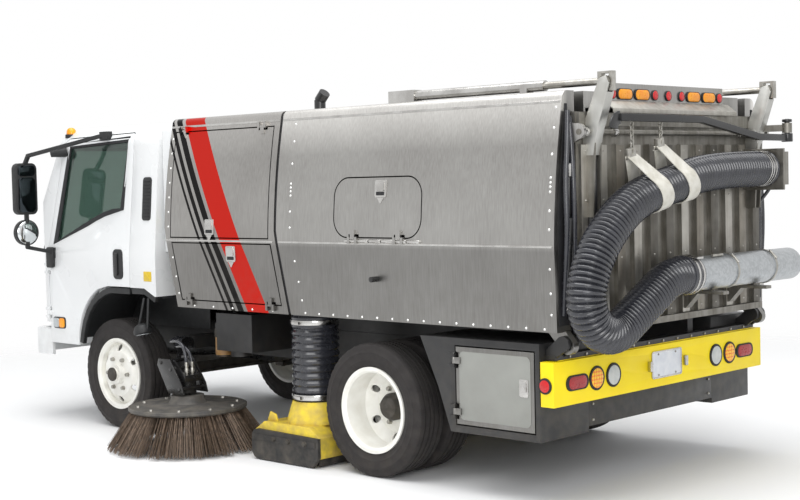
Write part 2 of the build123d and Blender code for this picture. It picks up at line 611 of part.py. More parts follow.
def build_hopper():
    front = aft(-804)
    toe = aft(-684)
    back = HOPPER_BACK
    outline = [(front, 2300), (front, 1480), (toe, 900), (back, 900), (back, 2300)]
    inside = [(front + 41, 2300), (front + 41, 1485), (toe + 33, 960), (back + 118, 960), (back + 118, 2300)]
    shell = body_volume(outline, 0) - body_volume(inside, BODY_WALL)
    wall = body_volume(outline, 0) - body_volume(outline, BODY_WALL)
    pin_x, pin_z = DOOR_PIN
    inner_half = DOOR_HALF + 6
    header = block((back - 72, back), (-DOOR_HALF, DOOR_HALF), (2150, 2225))
    posts = [block((back - 72, back), (s * (DOOR_HALF + 7), s * 975), (1000, 2190)) for s in (1, -1)]
    pockets = [block((back - 122, back), (s * 780, s * (DOOR_HALF + 9)), (2060, 2225)) for s in (1, -1)]
    shell = fused(shell, header, *posts, *pockets)
    notches = [block((back - 122, back + 118), (s * 795, s * 880), (2040, 2400)) for s in (1, -1)]
    sweep_room = rod((pin_x, -inner_half, pin_z), (pin_x, inner_half, pin_z), 142)
    panel = rounded((aft(-279), aft(456)), (1440, 1808), 120)
    openings = [side_slab(panel, (s * 900, s * 1100)) for s in (1, -1)]
    shell = shell.cut(*notches, *openings, sweep_room)
    ears = []
    x, z = HOPPER_PIN
    ear = [(x - 130, 960), (x - 8, 960), (x + 50, z + 10), ((x + 35, z - 42), (x - 30, z - 30)),
           (x - 120, 945)]
    bracket = [(back - 7, 1930), (back - 7, 2070), (pin_x - 19, 2060),
               ((pin_x + 35, pin_z), (pin_x - 4, 1975))]
    for side in (1, -1):
        ears.append(side_slab(ear, (side * 955, side * 997)))
        ears.append(side_slab(bracket, (side * (DOOR_HALF + 7), side * (DOOR_HALF + 27))))
    holes = []
    for side in (1, -1):
        holes.append(rod((x, side * 900, z), (x, side * 1040, z), 20 + PIN_PLAY))
        holes.append(rod((pin_x, side * 900, pin_z), (pin_x, side * 990, pin_z), 16 + PIN_PLAY))
    wall_ears, knuckles, reliefs, bore = level_hinge(side_y(1440) + 9.5, 1440, (aft(-140), aft(240)), False)
    light_bar = block((back - 1, back + 14), (-597, 597), (2165, 2290))
    shell = fused(shell, *ears, *wall_ears, *[other_side(ear) for ear in wall_ears], light_bar)
    add("hopper_shell", shell.cut(*holes, bore, other_side(bore)))

    g = DOOR_GAP
    outline = rounded((aft(-279) + g, aft(456) - g), (1440 + g, 1808 - g), 120 - g)
    leaf = wall & side_slab(outline, (900, 1100))
    add_pair("inspection_door", fused(leaf.cut(*reliefs), *knuckles))

    lens = (back + 14, back + 24)
    lamps = []
    for y in (-430, -250, 250, 430):
        lamps.append(end_slab([(y - 45, 2205), (y + 45, 2205), ((y + 71, 2231), (y + 45, 2257)),
                               (y - 45, 2257), ((y - 71, 2231), (y - 45, 2205))], lens))
    for y in (-550, -90, 0, 90, 550):
        lamps.append(rod((lens[0], y, 2231), (lens[1] + 2, y, 2231), 26))
    add("light_bar_lamps", *lamps)

    tip_x, tip_z = ARM_TIP
    barrels = []
    rods = []
    for side in (1, -1):
        y = side * ARM_Y
        barrel = pipe((aft(221), y, tip_z), (aft(1191), y, tip_z), 30, 20 + PIN_PLAY)
        foot = block((aft(21), aft(231)), (y - 35, y + 35), (BODY_TOP, 2315))
        saddle = block((aft(1031), aft(1081)), (y - 30, y + 30), (BODY_TOP, 2275))
        saddle = saddle - rod((aft(1000), y, tip_z), (aft(1100), y, tip_z), 29)
        barrels.append(fused(barrel, foot, saddle))
        shaft = rod((aft(651), y, tip_z), (tip_x - 35, y, tip_z), 20)
        eye = block((tip_x - 50, tip_x + 44), (y - 18, y + 18), (tip_z - 52, tip_z + 52))
        slot = block((tip_x - 24, tip_x + 24), (y - 30, y + 30), (tip_z - 40, tip_z + 40))
        rods.append(fused(shaft, eye) - slot)
    add("door_cylinders", *barrels)
    add("door_rods", *rods)


def build_rear_door():
    face = DOOR_FACE
    half = DOOR_HALF
    panel = block((face - 30, face), (-half, half), (935, DOOR_TOP))
    ribs = []
    for step in range(12):
        y = -half + 51 + step * (2 * half - 102) / 11
        ribs.append(block((face, face + 24), (y - 38, y + 38), (975, 1950)))
    top = block((face, face + 24), (5 - half, half - 5), (2050, DOOR_TOP - 5))
    lip = block((face, face + 36), (5 - half, half - 5), (935, 972))
    inlet = HOSE_START[0] - 20
    z = HOSE_START[1]
    flange_plate = end_slab(rounded((inlet - 18, inlet), (z - 130, z + 120), 4), (face, aft(HOSE_REACH)))
    duct = block((face, face + 274), (inlet - 98, inlet - 18), (z - 100, z + 100))
    shelves = []
    for y in (-560, -80):
        shelf = [(face, 1000), (face + 40, 1000), (face + 120, 1086), (face + 290, 1086), (face + 290, 1104),
                 (face, 1104)]
        shelves.append(side_slab(shelf, (y - 30, y + 30)))
    door = fused(panel, *ribs, top, lip, flange_plate, duct, *shelves)
    door = door - rod((HOSE_X, inlet - 168, z), (HOSE_X, inlet + 42, z), 85)
    arms = []
    pin_x, pin_z = DOOR_PIN
    tip_x, tip_z = ARM_TIP
    outline = [(face, 1560), (face + 64, 1560), (pin_x + 41, 2000), (tip_x + 32, tip_z - 12),
               ((tip_x + 14, tip_z + 28), (tip_x - 30, tip_z + 14)), (face, 2035)]
    for side in (1, -1):
        for y in (ARM_Y - 32, ARM_Y + 22):
            arms.append(side_slab(outline, (side * y, side * (y + 10))))
        arms.append(rod((tip_x, side * (ARM_Y - 32), tip_z), (tip_x, side * (ARM_Y + 32), tip_z), 15))
        arms.append(block((face, face + 14), (side * (ARM_Y - 30), side * (ARM_Y + 30)), (1560, 1985)))
    hinge_rod = rod((pin_x, -half - 31, pin_z), (pin_x, half + 31, pin_z), 16)
    x, y = BOOM_PIVOT
    post = fused(bar((pin_x + 31, y + 38, 2045), (x, y, 2045), 40, 40), rod((x, y, 2015), (x, y, 2075), 30))
    bore = rod((x, y, 1990), (x, y, 2100), 16 + PIN_PLAY)
    add("rear_door", fused(door, hinge_rod, *arms, post - bore))


def hose_line():
    """Middle line of the stowed hose on the upright plane behind the door, and its end as (y, z)."""
    plane = Plane(origin=(behind(HOSE_X), 0, 0), x_dir=(0, 1, 0), z_dir=(1, 0, 0))
    place = plane.from_local_coords
    y, z = HOSE_START
    heading = 0
    edges = []
    for size, turn in HOSE_RUNS:
        start = place((y, z, 0))
        if turn:
            side = math.copysign(1, turn)
            mid_y = y - side * size * math.sin(heading)
            mid_z = z + side * size * math.cos(heading)
            points = []
            for share in (0.5, 1):
                angle = heading + share * math.radians(turn)
                points.append((mid_y + side * size * math.sin(angle), mid_z - side * size * math.cos(angle)))
            via = place((*points[0], 0))
            y, z = points[1]
            edges.append(Edge.make_three_point_arc(start, via, place((y, z, 0))))
            heading += math.radians(turn)
        else:
            y += size * math.cos(heading)
            z += size * math.sin(heading)
            edges.append(Edge.make_line(start, place((y, z, 0))))
    return Wire(edges), (y, z)


def build_hose():
    path, (end_y, end_z) = hose_line()
    start = path.edges()[0] @ 0
    ring = Plane(origin=start, z_dir=(0, 1, 0)) * (Circle(HOSE_R) - Circle(HOSE_R - 10))
    add("wander_hose", sweep(ring, path=path))
    x = HOSE_X
    tube = pipe((x, end_y, end_z), (x, TUBE_END, end_z), TUBE_R, TUBE_R - 6)
    cuff = pipe((x, end_y - 5, end_z), (x, end_y - 90, end_z), TUBE_R + 13, TUBE_R)
    bands = [pipe((x, y, end_z), (x, y - 30, end_z), TUBE_R + 4, TUBE_R) for y in (-240, -675)]
    add("nozzle_tube", fused(tube, cuff, *bands))
    pin_x, pin_y = BOOM_PIVOT
    spindle = rod((pin_x, pin_y, 1965), (pin_x, pin_y, 2100), 16)
    collar = rod((pin_x, pin_y, 1960), (pin_x, pin_y, 2010), 34)
    cap = rod((pin_x, pin_y, 2080), (pin_x, pin_y, 2100), 30)
    elbow = (pin_x - 30, -600, 1990)
    knee = (pin_x - 45, 30, 2088)
    legs = [bar((pin_x, pin_y, 1985), elbow, 40, 40), bar((elbow[0], -615, 1986), knee, 40, 40),
            bar((knee[0], 0, 2087), (knee[0], 800, 2087), 40, 40)]
    straps = []
    droop = HOSE_RUNS[0][0]
    # Y of the two straps that hang from the boom
    for y in (150, 430):
        angle = math.asin((y - HOSE_START[0]) / droop)
        z = HOSE_START[1] - droop * (1 - math.cos(angle))
        half_y = 45 * math.cos(angle)
        half_z = 45 * math.sin(angle)
        start = (HOSE_X, y - half_y, z + half_z)
        loop = pipe(start, (HOSE_X, y + half_y, z - half_z), HOSE_R + 6, HOSE_R + 0.5)
        tail = block((HOSE_X - 3, HOSE_X + 3), (y - 10, y + 30), (z + HOSE_R + 6, 2068))
        straps.append(fused(loop, tail))
    add("hose_boom", fused(spindle, collar, cap, *legs, *straps))


# Sweep gear

def corrugated(x, y, low, high, radius, bore, pitch):
    """Upright hose whose outer wall steps in and out."""
    count = round((high - low) / pitch)
    step = (high - low) / count
    profile = [(bore, low)]
    for turn in range(count):
        z = low + turn * step
        profile += [(radius - 10, z), (radius, z + step * 0.3), (radius, z + step * 0.6),
                    (radius - 10, z + step * 0.9)]
    profile += [(radius - 10, high), (bore, high)]
    return turned(x, y, profile)


def build_sweep_gear():
    x0, x1 = HEAD_X
    inner = HEAD_HALF - 20
    x, y = SUCTION_AT
    front = side_slab([(x0, 60), (x0, 190), (x0 + 90, 250), (x0 + 98, 232), (x0 + 20, 185), (x0 + 20, 60)],
                      (-inner, inner))
    rear = side_slab([(x1, 60), (x1, 190), (x1 - 90, 250), (x1 - 98, 232), (x1 - 20, 185), (x1 - 20, 60)],
                     (-inner, inner))
    end = side_slab([(x0, 60), (x0, 190), (x0 + 90, 250), (x1 - 90, 250), (x1, 190), (x1, 60)],
                    (inner, HEAD_HALF))
    lid = side_slab([(x0 + 90, 250), (x1 - 90, 250), (x1 - 98, 232), (x0 + 98, 232)], (-inner, inner))
    lid = lid.cut(*[rod((x, s * y, 200), (x, s * y, 420), DUCT_R) for s in (1, -1)])
    neck = turned(x, y, [(DUCT_R, 250), (SUCTION_R + 40, 250), (SUCTION_R + 30, 300), (SUCTION_R, 390),
                         (DUCT_R, 390)])
    top = x0 + 140
    link = bar((top, 400, 200), (amid(0.6), 400, 545), 40, 20) - block((x0, x1), (300, 500), (100, 250))
    foot = block((amid(0.6) - 25, amid(0.6) + 25), (375, 425), (525, RAIL_Z[0]))
    link = fused(link, foot)
    pieces = [end, neck, link]
    add("pickup_head", front, rear, lid, *pieces, *[other_side(piece) for piece in pieces])
    skid = side_slab([(x0 - 8, 70), ((x0 + 8, 26), (x0 + 50, 8)), (x1 - 40, 8), (x1 + 10, 70), (x1 + 10, 190),
                      (x0 + 50, 200), ((x0 + 8, 184), (x0 - 8, 146))], (HEAD_HALF, HEAD_HALF + 25))
    curtain = [block((x0 + 20, x0 + 30), (-inner, inner), (12, 70)),
               block((x1 - 30, x1 - 20), (-inner, inner), (12, 70))]
    add("head_skids", skid, other_side(skid), *curtain)
    hose = corrugated(x, y, 390, BODY_BOTTOM - 6, SUCTION_R, DUCT_R, 46)
    add("head_hoses", hose, other_side(hose))


def build_brooms():
    px, pz = BROOM_PIVOT
    bx, by = BROOM_AT
    r = BROOM_R
    sleeve = rod((px, 500, pz), (px, 780, pz), 18)
    hub = rod((px, 662, pz), (px, 780, pz), 45)
    arm = bar((px, 720, pz), (bx - 100, by, 480), 70, 60)
    yoke = fused(block((bx - 150, bx + 70), (by - 70, by + 70), (455, 500)),
                 rod((bx, by, 375), (bx, by, 470), 62), rod((bx, by, 300), (bx, by, 380), 20))
    gussets = []
    for side in (1, -1):
        gussets.append(side_slab([(bx - 140, 500), (bx + 60, 500), (bx - 60, 600)],
                                 (by + side * 60 - 6, by + side * 60 + 6)))
    add_pair("broom_arm", fused(sleeve, hub, arm, yoke, *gussets))
    bore = 20 + PIN_PLAY
    rim_r = 0.705 * r
    plate = turned(bx, by, [(bore, 285), (rim_r - 5, 262), (rim_r, 275), (120, 305), (110, 360), (bore, 360)])
    holes = []
    for turn in range(10):
        angle = math.radians(36 * turn)
        u = bx + 0.6 * r * math.cos(angle)
        v = by + 0.6 * r * math.sin(angle)
        holes.append(rod((u, v, 240), (u, v, 320), 12))
    plate = plate.cut(*holes)
    tufts = []
    for turn in range(5):
        start = math.radians(72 * turn + 3)
        plane = Plane(origin=(behind(bx), by, 0), x_dir=(math.cos(start), math.sin(start), 0),
                      z_dir=(math.sin(start), -math.cos(start), 0))
        face = contour(plane, (0.43 * r, 268), (0.69 * r, 262), (r, 6), (0.77 * r, 6))
        tufts.append(revolve(face, axis=Axis((behind(bx), by, 0), (0, 0, 1)), revolution_arc=66))
    tufts = [tuft - plate for tuft in tufts]
    add_pair("broom", plate, *tufts)


build_wheels()
build_axles()
build_frame()
build_toolboxes(build_bumpers())
build_cab()
build_enclosure()
build_hopper()
build_rear_door()
build_hose()
build_sweep_gear()
build_brooms()

os.makedirs("parts", exist_ok=True)
for name, shape in nodes.items():
    export_step(shape, f"parts/{name}.step")
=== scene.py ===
"""Street sweeper truck dressed for its picture: finishes, fittings, hoses, bristles and studio."""
import logging
import math
from dataclasses import dataclass, replace
from enum import Enum
from typing import Callable, Sequence

import bmesh
import bpy
from mathutils import Matrix, Vector


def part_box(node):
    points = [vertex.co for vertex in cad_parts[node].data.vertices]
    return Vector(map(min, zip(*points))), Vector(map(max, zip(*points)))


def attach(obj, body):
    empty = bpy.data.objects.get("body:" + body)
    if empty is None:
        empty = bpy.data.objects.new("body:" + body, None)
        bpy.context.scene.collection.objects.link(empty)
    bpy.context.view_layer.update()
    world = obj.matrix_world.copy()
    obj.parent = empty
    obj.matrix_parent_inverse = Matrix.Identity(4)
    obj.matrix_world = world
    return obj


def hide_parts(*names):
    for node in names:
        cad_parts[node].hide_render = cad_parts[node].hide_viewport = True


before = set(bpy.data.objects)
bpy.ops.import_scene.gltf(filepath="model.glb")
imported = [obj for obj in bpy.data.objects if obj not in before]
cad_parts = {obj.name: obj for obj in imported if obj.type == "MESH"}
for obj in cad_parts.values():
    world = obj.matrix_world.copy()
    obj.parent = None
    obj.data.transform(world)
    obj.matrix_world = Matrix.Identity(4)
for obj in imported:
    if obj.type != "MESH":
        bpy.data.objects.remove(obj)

LOG = logging.getLogger("sweeper")
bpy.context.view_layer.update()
MM = 0.001
FRONT_AXLE = sum(corner.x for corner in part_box("front_tyre_left")) / 2
WHEELBASE = 2769
HOPPER_BACK = 4182
SEAM_Z = 1410
SIDE_FOOT = (1063, 950)
SIDE_ARC = ((1077, SEAM_Z), (1047, 1810), (985, 2195))
UP = Vector((0, 0, 1))
REARWARD = Vector((-1, 0, 0))

Socket = bpy.types.NodeSocket
Tree = bpy.types.NodeTree
Entry = bpy.types.NodeOutputs
Object = bpy.types.Object
Colour = tuple[float, float, float, float]
Pairs = Sequence[tuple[float, float]]
Places = Sequence[tuple[Vector, Vector]]


def spot(back: float, across: float, up: float) -> Vector:
    """Point given in millimetres behind the front axle, to the left and above the ground."""
    return Vector((FRONT_AXLE - back * MM, across * MM, up * MM))


def linear(code: str) -> Colour:
    """Linear colour of an sRGB hex code.

    Args:
        code: Six hex digits after a hash sign.

    Returns:
        Red, green, blue and a full alpha.
    """
    values = [int(code[i:i + 2], 16) / 255 for i in (1, 3, 5)]
    out = [v / 12.92 if v <= 0.04045 else ((v + 0.055) / 1.055) ** 2.4 for v in values]
    return (out[0], out[1], out[2], 1.0)


def put(tree: Tree, kind: str, inputs: dict | None = None, out: int | str = 0, **settings) -> Socket | None:
    """Add a node, set its properties and fill or link its inputs.

    Args:
        tree: Shader or geometry tree that takes the node.
        kind: Type name of the node without its family.
        inputs: Socket name or number to a value or to the socket that feeds it.
        out: Name or number of the output that is wanted.
        settings: Properties of the node.

    Returns:
        That output of the new node, if it has any.
    """
    families = ("ShaderNode", "GeometryNode", "FunctionNode", "")
    node = tree.nodes.new(next(lead + kind for lead in families if hasattr(bpy.types, lead + kind)))
    for name, value in settings.items():
        setattr(node, name, value)
    for key, value in (inputs or {}).items():
        if isinstance(value, Socket):
            tree.links.new(value, node.inputs[key])
        else:
            node.inputs[key].default_value = value
    return node.outputs[out] if node.outputs else None


class Side(Enum):
    """Left and right of the truck."""

    LEFT = ("left", 1.0)
    RIGHT = ("right", -1.0)

    @property
    def word(self) -> str:
        """Ending of the names of nodes and bodies."""
        return self.value[0]

    @property
    def sign(self) -> float:
        """Sign of Y on this side."""
        return self.value[1]

    @property
    def out(self) -> Vector:
        """Direction away from the truck on this side."""
        return Vector((0, self.sign, 0))


# Finishes

@dataclass(frozen=True)
class Finish:
    """A surface: its colours, gloss, grain and the dust that gathers low down.

    Lengths are millimetres, apart from dust_top, the height in metres where dust ends.
    """

    name: str
    slot: str
    colour: str
    shade: str
    patch_mm: float = 400.0
    metallic: float = 0.0
    roughness: float = 0.5
    swing: float = 0.06
    grain_mm: float = 3.0
    grain: float = 0.05
    dust: str = ""
    dust_top: float = 1.0
    dust_share: float = 0.5
    coat: float = 0.0
    transmission: float = 0.0
    sheen: float = 0.0

    def material(self) -> bpy.types.Material:
        """Material of this finish, built the first time it is asked for."""
        made = bpy.data.materials.get(self.name)
        if made is not None:
            return made
        made = bpy.data.materials.new(self.name)
        made.use_nodes = True
        tree = made.node_tree
        shader = tree.nodes["Principled BSDF"]
        for socket, value in (
                ("Metallic", self.metallic), ("Coat Weight", self.coat), ("Coat Roughness", 0.08),
                ("Transmission Weight", self.transmission), ("Sheen Weight", self.sheen)):
            shader.inputs[socket].default_value = value
        place = put(tree, "TexCoord", out="Object")
        tint = self.tint(tree, place)
        rough = self.gloss(tree, place)
        if self.dust:
            share = self.settled(tree, place)
            mixed = put(tree, "Mix", {0: share, 6: tint, 7: linear(self.dust)}, data_type="RGBA", out=2)
            tint = mixed
        tree.links.new(tint, shader.inputs["Base Color"])
        tree.links.new(rough, shader.inputs["Roughness"])
        if self.grain:
            height = self.relief(tree, place)
            bump = put(
                tree, "Bump", {"Strength": self.grain, "Distance": 0.002, "Height": height}, out="Normal")
            tree.links.new(bump, shader.inputs["Normal"])
        return made

    def tint(self, tree: Tree, place: Socket) -> Socket:
        """Colour with broad cloudy patches.

        Args:
            tree: The material's tree.
            place: Object coordinates.

        Returns:
            The colour socket.
        """
        cloud = put(tree, "TexNoise", {"Vector": place, "Scale": 1 / (self.patch_mm * MM), "Detail": 4.0})
        spread = put(tree, "MapRange", {0: cloud, 1: 0.35, 2: 0.65})
        mixed = put(
            tree, "Mix", {0: spread, 6: linear(self.colour), 7: linear(self.shade)}, data_type="RGBA", out=2)
        return mixed

    def gloss(self, tree: Tree, place: Socket) -> Socket:
        """Roughness that wanders a little over the surface.

        Args:
            tree: The material's tree.
            place: Object coordinates.

        Returns:
            The roughness socket.
        """
        cloud = put(tree, "TexNoise", {"Vector": place, "Scale": 3 / (self.patch_mm * MM), "Detail": 3.0})
        low = max(0.02, self.roughness - self.swing)
        spread = put(tree, "MapRange", {0: cloud, 1: 0.3, 2: 0.7, 3: low, 4: self.roughness + self.swing})
        return spread

    def settled(self, tree: Tree, place: Socket) -> Socket:
        """Share of dust, thick at the ground and broken up towards dust_top.

        Args:
            tree: The material's tree.
            place: Object coordinates.

        Returns:
            The share socket.
        """
        height = put(tree, "SeparateXYZ", {0: place}, out="Z")
        low = put(tree, "MapRange", {0: height, 1: self.dust_top, 2: 0.05, 3: 0.0, 4: 1.0})
        cloud = put(tree, "TexNoise", {"Vector": place, "Scale": 14.0, "Detail": 6.0})
        broken = put(tree, "MapRange", {0: cloud, 1: 0.35, 2: 0.7})
        both = put(tree, "Math", {0: low, 1: broken}, operation="MULTIPLY")
        return put(tree, "Math", {0: both, 1: self.dust_share}, operation="MULTIPLY")

    def relief(self, tree: Tree, place: Socket) -> Socket:
        """Height of the surface's fine grain."""
        return put(tree, "TexNoise", {"Vector": place, "Scale": 1 / (self.grain_mm * MM), "Detail": 2.0})


@dataclass(frozen=True)
class BrushedSheet(Finish):
    """Brushed stainless sheet: upright lines, cloudy stains, painted shade below the seam of the body for the
    reflected ground and a painted sky reflection towards the roof.
    """

    line_mm: float = 6.0
    band: bool = False
    # colour factor below the seam: painted shade standing in for the reflected ground
    ground_reflection_shade: float = 1.0
    # colour gain at the roof's edge: painted reflection of the sky
    sky: float = 1.0

    def tint(self, tree: Tree, place: Socket) -> Socket:
        """Steel colour with brushing lines, drawn at several millimetres so that they show in the picture.

        Args:
            tree: The material's tree.
            place: Object coordinates.

        Returns:
            The colour socket.
        """
        lines = put(tree, "Mapping", {"Vector": place, "Scale": (1.0, 1.0, 0.04)})
        brush = put(tree, "TexNoise", {"Vector": lines, "Scale": 1 / (self.line_mm * MM), "Detail": 3.0})
        cloud = put(tree, "TexNoise", {"Vector": place, "Scale": 1 / (self.patch_mm * MM), "Detail": 5.0})
        both = put(tree, "Mix", {0: 0.55, 2: brush, 3: cloud})
        spread = put(tree, "MapRange", {0: both, 1: 0.32, 2: 0.68})
        steel = put(
            tree, "Mix", {0: spread, 6: linear(self.colour), 7: linear(self.shade)}, data_type="RGBA", out=2)
        # painted reflections: shade below the seam for the ground, highlight at the roof edge for the sky
        if self.ground_reflection_shade < 1:
            steel = self.painted_reflections(tree, place, steel)
        return self.striped(tree, place, steel) if self.band else steel

    def painted_reflections(self, tree: Tree, place: Socket, steel: Socket) -> Socket:
        """Darken the sheet under the seam as painted shade for the reflected ground, and lighten it where it
        turns to the roof as a painted reflection of the sky.

        Args:
            tree: The material's tree.
            place: Object coordinates.
            steel: Colour of the bare sheet.

        Returns:
            The colour socket.
        """
        split = put(tree, "SeparateXYZ", {0: place}).node.outputs
        height = split["Z"]
        seam = SEAM_Z * MM
        # painted ground reflection: darker below the seam
        low = put(tree, "MapRange", {0: height, 1: seam - 0.03, 2: seam + 0.01, 3: self.ground_reflection_shade, 4: 1.0})
        across = put(tree, "Math", {0: split["Y"]}, operation="ABSOLUTE")
        # painted sky reflection: lighter at the upper outer edge
        edge = put(tree, "MapRange", {0: across, 1: 0.93, 2: 0.97, 3: 0.0, 4: self.sky - 1})
        high = put(tree, "MapRange", {0: height, 1: 1.95, 2: 2.2})
        gain = put(tree, "Math", {0: edge, 1: high, 2: 1.0}, operation="MULTIPLY_ADD")
        level = put(tree, "Math", {0: low, 1: gain}, operation="MULTIPLY")
        return put(tree, "VectorMath", {0: steel, "Scale": level}, operation="SCALE")

    def striped(self, tree: Tree, place: Socket, steel: Socket) -> Socket:
        """Lay slanting red and black bands over the sides of the engine enclosure.

        Args:
            tree: The material's tree.
            place: Object coordinates.
            steel: Colour of the bare sheet.

        Returns:
            The colour socket.
        """
        split = put(tree, "SeparateXYZ", {0: place}).node.outputs
        rise = put(tree, "Math", {0: split["Z"], 1: -0.55}, operation="MULTIPLY")
        slant = put(tree, "Math", {0: split["X"], 1: rise}, operation="ADD")
        across = put(tree, "Math", {0: split["Y"]}, operation="ABSOLUTE")
        outer = put(tree, "Math", {0: across, 1: 0.955}, operation="GREATER_THAN")
        colour = steel
        # middle of the band along the slant from the front axle and half width, in metres, and colour
        for middle, half, code in (
                (-2.28, 0.105, "#C8281E"), (-2.11, 0.030, "#1C1B1B"), (-2.03, 0.020, "#1C1B1B"),
                (-1.965, 0.012, "#1C1B1B")):
            centre = FRONT_AXLE + middle
            away = put(tree, "Math", {0: slant, 1: centre, 2: half}, operation="COMPARE")
            shown = put(tree, "Math", {0: away, 1: outer}, operation="MULTIPLY")
            colour = put(tree, "Mix", {0: shown, 6: colour, 7: linear(code)}, data_type="RGBA", out=2)
        return colour

    def relief(self, tree: Tree, place: Socket) -> Socket:
        """Brushing lines and the slow waviness of thin sheet.

        Args:
            tree: The material's tree.
            place: Object coordinates.

        Returns:
            The height socket.
        """
        lines = put(tree, "Mapping", {"Vector": place, "Scale": (1.0, 1.0, 0.03)})
        brush = put(tree, "TexNoise", {"Vector": lines, "Scale": 1 / (self.grain_mm * MM)})
        wave = put(tree, "TexNoise", {"Vector": place, "Scale": 2.2})
        return put(tree, "Math", {0: wave, 1: 14.0, 2: brush}, operation="MULTIPLY_ADD")


@dataclass(frozen=True)
class Spangle(Finish):
    """Hot-dip galvanised sheet: crystal flakes of differing grey."""

    flake_mm: float = 14.0

    def tint(self, tree: Tree, place: Socket) -> Socket:
        """Flakes between two greys.

        Args:
            tree: The material's tree.
            place: Object coordinates.

        Returns:
            The colour socket.
        """
        cells = put(tree, "TexVoronoi", {"Vector": place, "Scale": 1 / (self.flake_mm * MM)}, out="Color")
        grey = put(tree, "SeparateColor", {0: cells})
        return put(
            tree, "Mix", {0: grey, 6: linear(self.colour), 7: linear(self.shade)}, out=2, data_type="RGBA")


@dataclass(frozen=True)
class Lens(Finish):
    """Moulded acrylic lens: clear colour over rows of small prisms."""

    prism_mm: float = 9.0

    def relief(self, tree: Tree, place: Socket) -> Socket:
        """Square prisms, drawn at nine millimetres so that they show."""
        sizes = {"Vector": place, "Scale": 1 / (self.prism_mm * MM), "Randomness": 0.0}
        return put(tree, "TexVoronoi", sizes, distance="CHEBYCHEV")


@dataclass(frozen=True)
class Diodes(Lens):
    """Lens over rows of small bright lamps, drawn 21 mm apart so that they show."""

    dot_mm: float = 21.0

    def tint(self, tree: Tree, place: Socket) -> Socket:
        """Bright dots on the lens's colour.

        Args:
            tree: The material's tree.
            place: Object coordinates.

        Returns:
            The colour socket.
        """
        away = put(tree, "TexVoronoi", {"Vector": place, "Scale": 1 / (self.dot_mm * MM), "Randomness": 0.0})
        dots = put(tree, "MapRange", {0: away, 1: 0.38, 2: 0.5})
        return put(
            tree, "Mix", {0: dots, 6: linear(self.colour), 7: linear(self.shade)}, out=2, data_type="RGBA")


@dataclass(frozen=True)
class Woven(Finish):
    """Woven cloth or webbing: crossing threads a few millimetres apart."""

    thread_mm: float = 5.0

    def relief(self, tree: Tree, place: Socket) -> Socket:
        """Crossing waves of warp and weft.

        Args:
            tree: The material's tree.
            place: Object coordinates.

        Returns:
            The height socket.
        """
        sizes = {"Vector": place, "Scale": 1 / (self.thread_mm * MM) / 3.14}
        weft, warp = (put(tree, "TexWave", sizes, out=1, bands_direction=way) for way in "YZ")
        return put(tree, "Math", {0: warp, 1: weft}, operation="ADD")


# Sprayed enamel, smooth with a faint orange peel and a wet coat.
CAB_WHITE = Finish(
    "white_enamel", "white_paint", "#EEEFEF", "#E4E6E7", 900, roughness=0.3, grain_mm=5, grain=0.02, coat=0.5,
    dust="#9A958C", dust_top=0.95, dust_share=0.35)
WHEEL_WHITE = Finish(
    "wheel_enamel", "white_paint", "#F6F5EF", "#ECEAE2", 90, roughness=0.42, grain_mm=4, grain=0.03, coat=0.2,
    dust="#8A8276", dust_top=0.8, dust_share=0.06)
BUMPER_YELLOW = Finish(
    "yellow_enamel", "yellow_paint", "#FFE400", "#F8DA00", 300, roughness=0.5, grain_mm=6, grain=0.03,
    coat=0.0, dust="#8D8168", dust_top=0.7, dust_share=0.08)
HEAD_YELLOW = Finish(
    "worn_yellow_enamel", "yellow_paint", "#F0D440", "#D2B654", 60, roughness=0.55, swing=0.15, grain_mm=8,
    grain=0.12, dust="#5B5347", dust_top=0.34, dust_share=0.6)
# Brushed austenitic sheet, soft grey mirror with upright lines.
# darker below the seam as a painted reflection of the ground, lighter at the roof edge as a painted
# reflection of the sky
SIDE_STEEL = BrushedSheet(
    "brushed_stainless", "stainless", "#B0AFAC", "#94928F", 700, metallic=1.0, roughness=0.34, grain_mm=2.5,
    grain=0.06, ground_reflection_shade=0.66, sky=1.9, dust="#6A675F", dust_top=1.5, dust_share=0.5)
# same painted ground and sky reflections, both a little weaker
BANDED_STEEL = replace(
    SIDE_STEEL, name="banded_stainless", colour="#A9A7A4", shade="#8C8A87", band=True, ground_reflection_shade=0.72, sky=1.35,
    dust_share=0.4)
TRIM_STEEL = Finish(
    "bright_stainless", "stainless", "#C9C8C5", "#AFADAA", 120, metallic=1.0, roughness=0.24, grain_mm=3,
    grain=0.03)
DOOR_STEEL = BrushedSheet(
    "stained_stainless", "stainless", "#9C9A94", "#6F6B63", 160, metallic=0.85, roughness=0.46, swing=0.12,
    grain_mm=4, grain=0.1, line_mm=24, dust="#57524A", dust_top=2.3, dust_share=0.55)
DOOR_PALE = BrushedSheet(
    "pale_strip", "stainless", "#BDBBB4", "#97928A", 220, metallic=0.8, roughness=0.42, swing=0.1, grain_mm=4,
    grain=0.08, line_mm=24, dust="#6A645A", dust_top=2.2, dust_share=0.3)
DOOR_DARK = replace(
    DOOR_PALE, name="dark_strip", colour="#75726C", shade="#5A5750", roughness=0.5, dust="#4C473F",
    dust_share=0.4)
DOOR_MID = replace(
    DOOR_PALE, name="mid_strip", colour="#928D83", shade="#77726A", roughness=0.46, dust="#5A544A",
    dust_share=0.35)
PANEL_GREY = Finish(
    "panel_enamel", "stainless", "#9B9C97", "#8F908B", 300, metallic=0.3, roughness=0.45, grain_mm=5,
    grain=0.03, dust="#7A746A", dust_top=0.8, dust_share=0.25)
RIVET = Finish("drawn_rivet", "galvanised", "#EDEDEB", "#DCDCD8", 30, metallic=0.7, roughness=0.3, grain=0.0)
GALVANISED = Spangle(
    "galvanised_tube", "galvanised", "#B8BBBD", "#A6A9AB", metallic=0.9, roughness=0.42, grain_mm=6,
    grain=0.05)
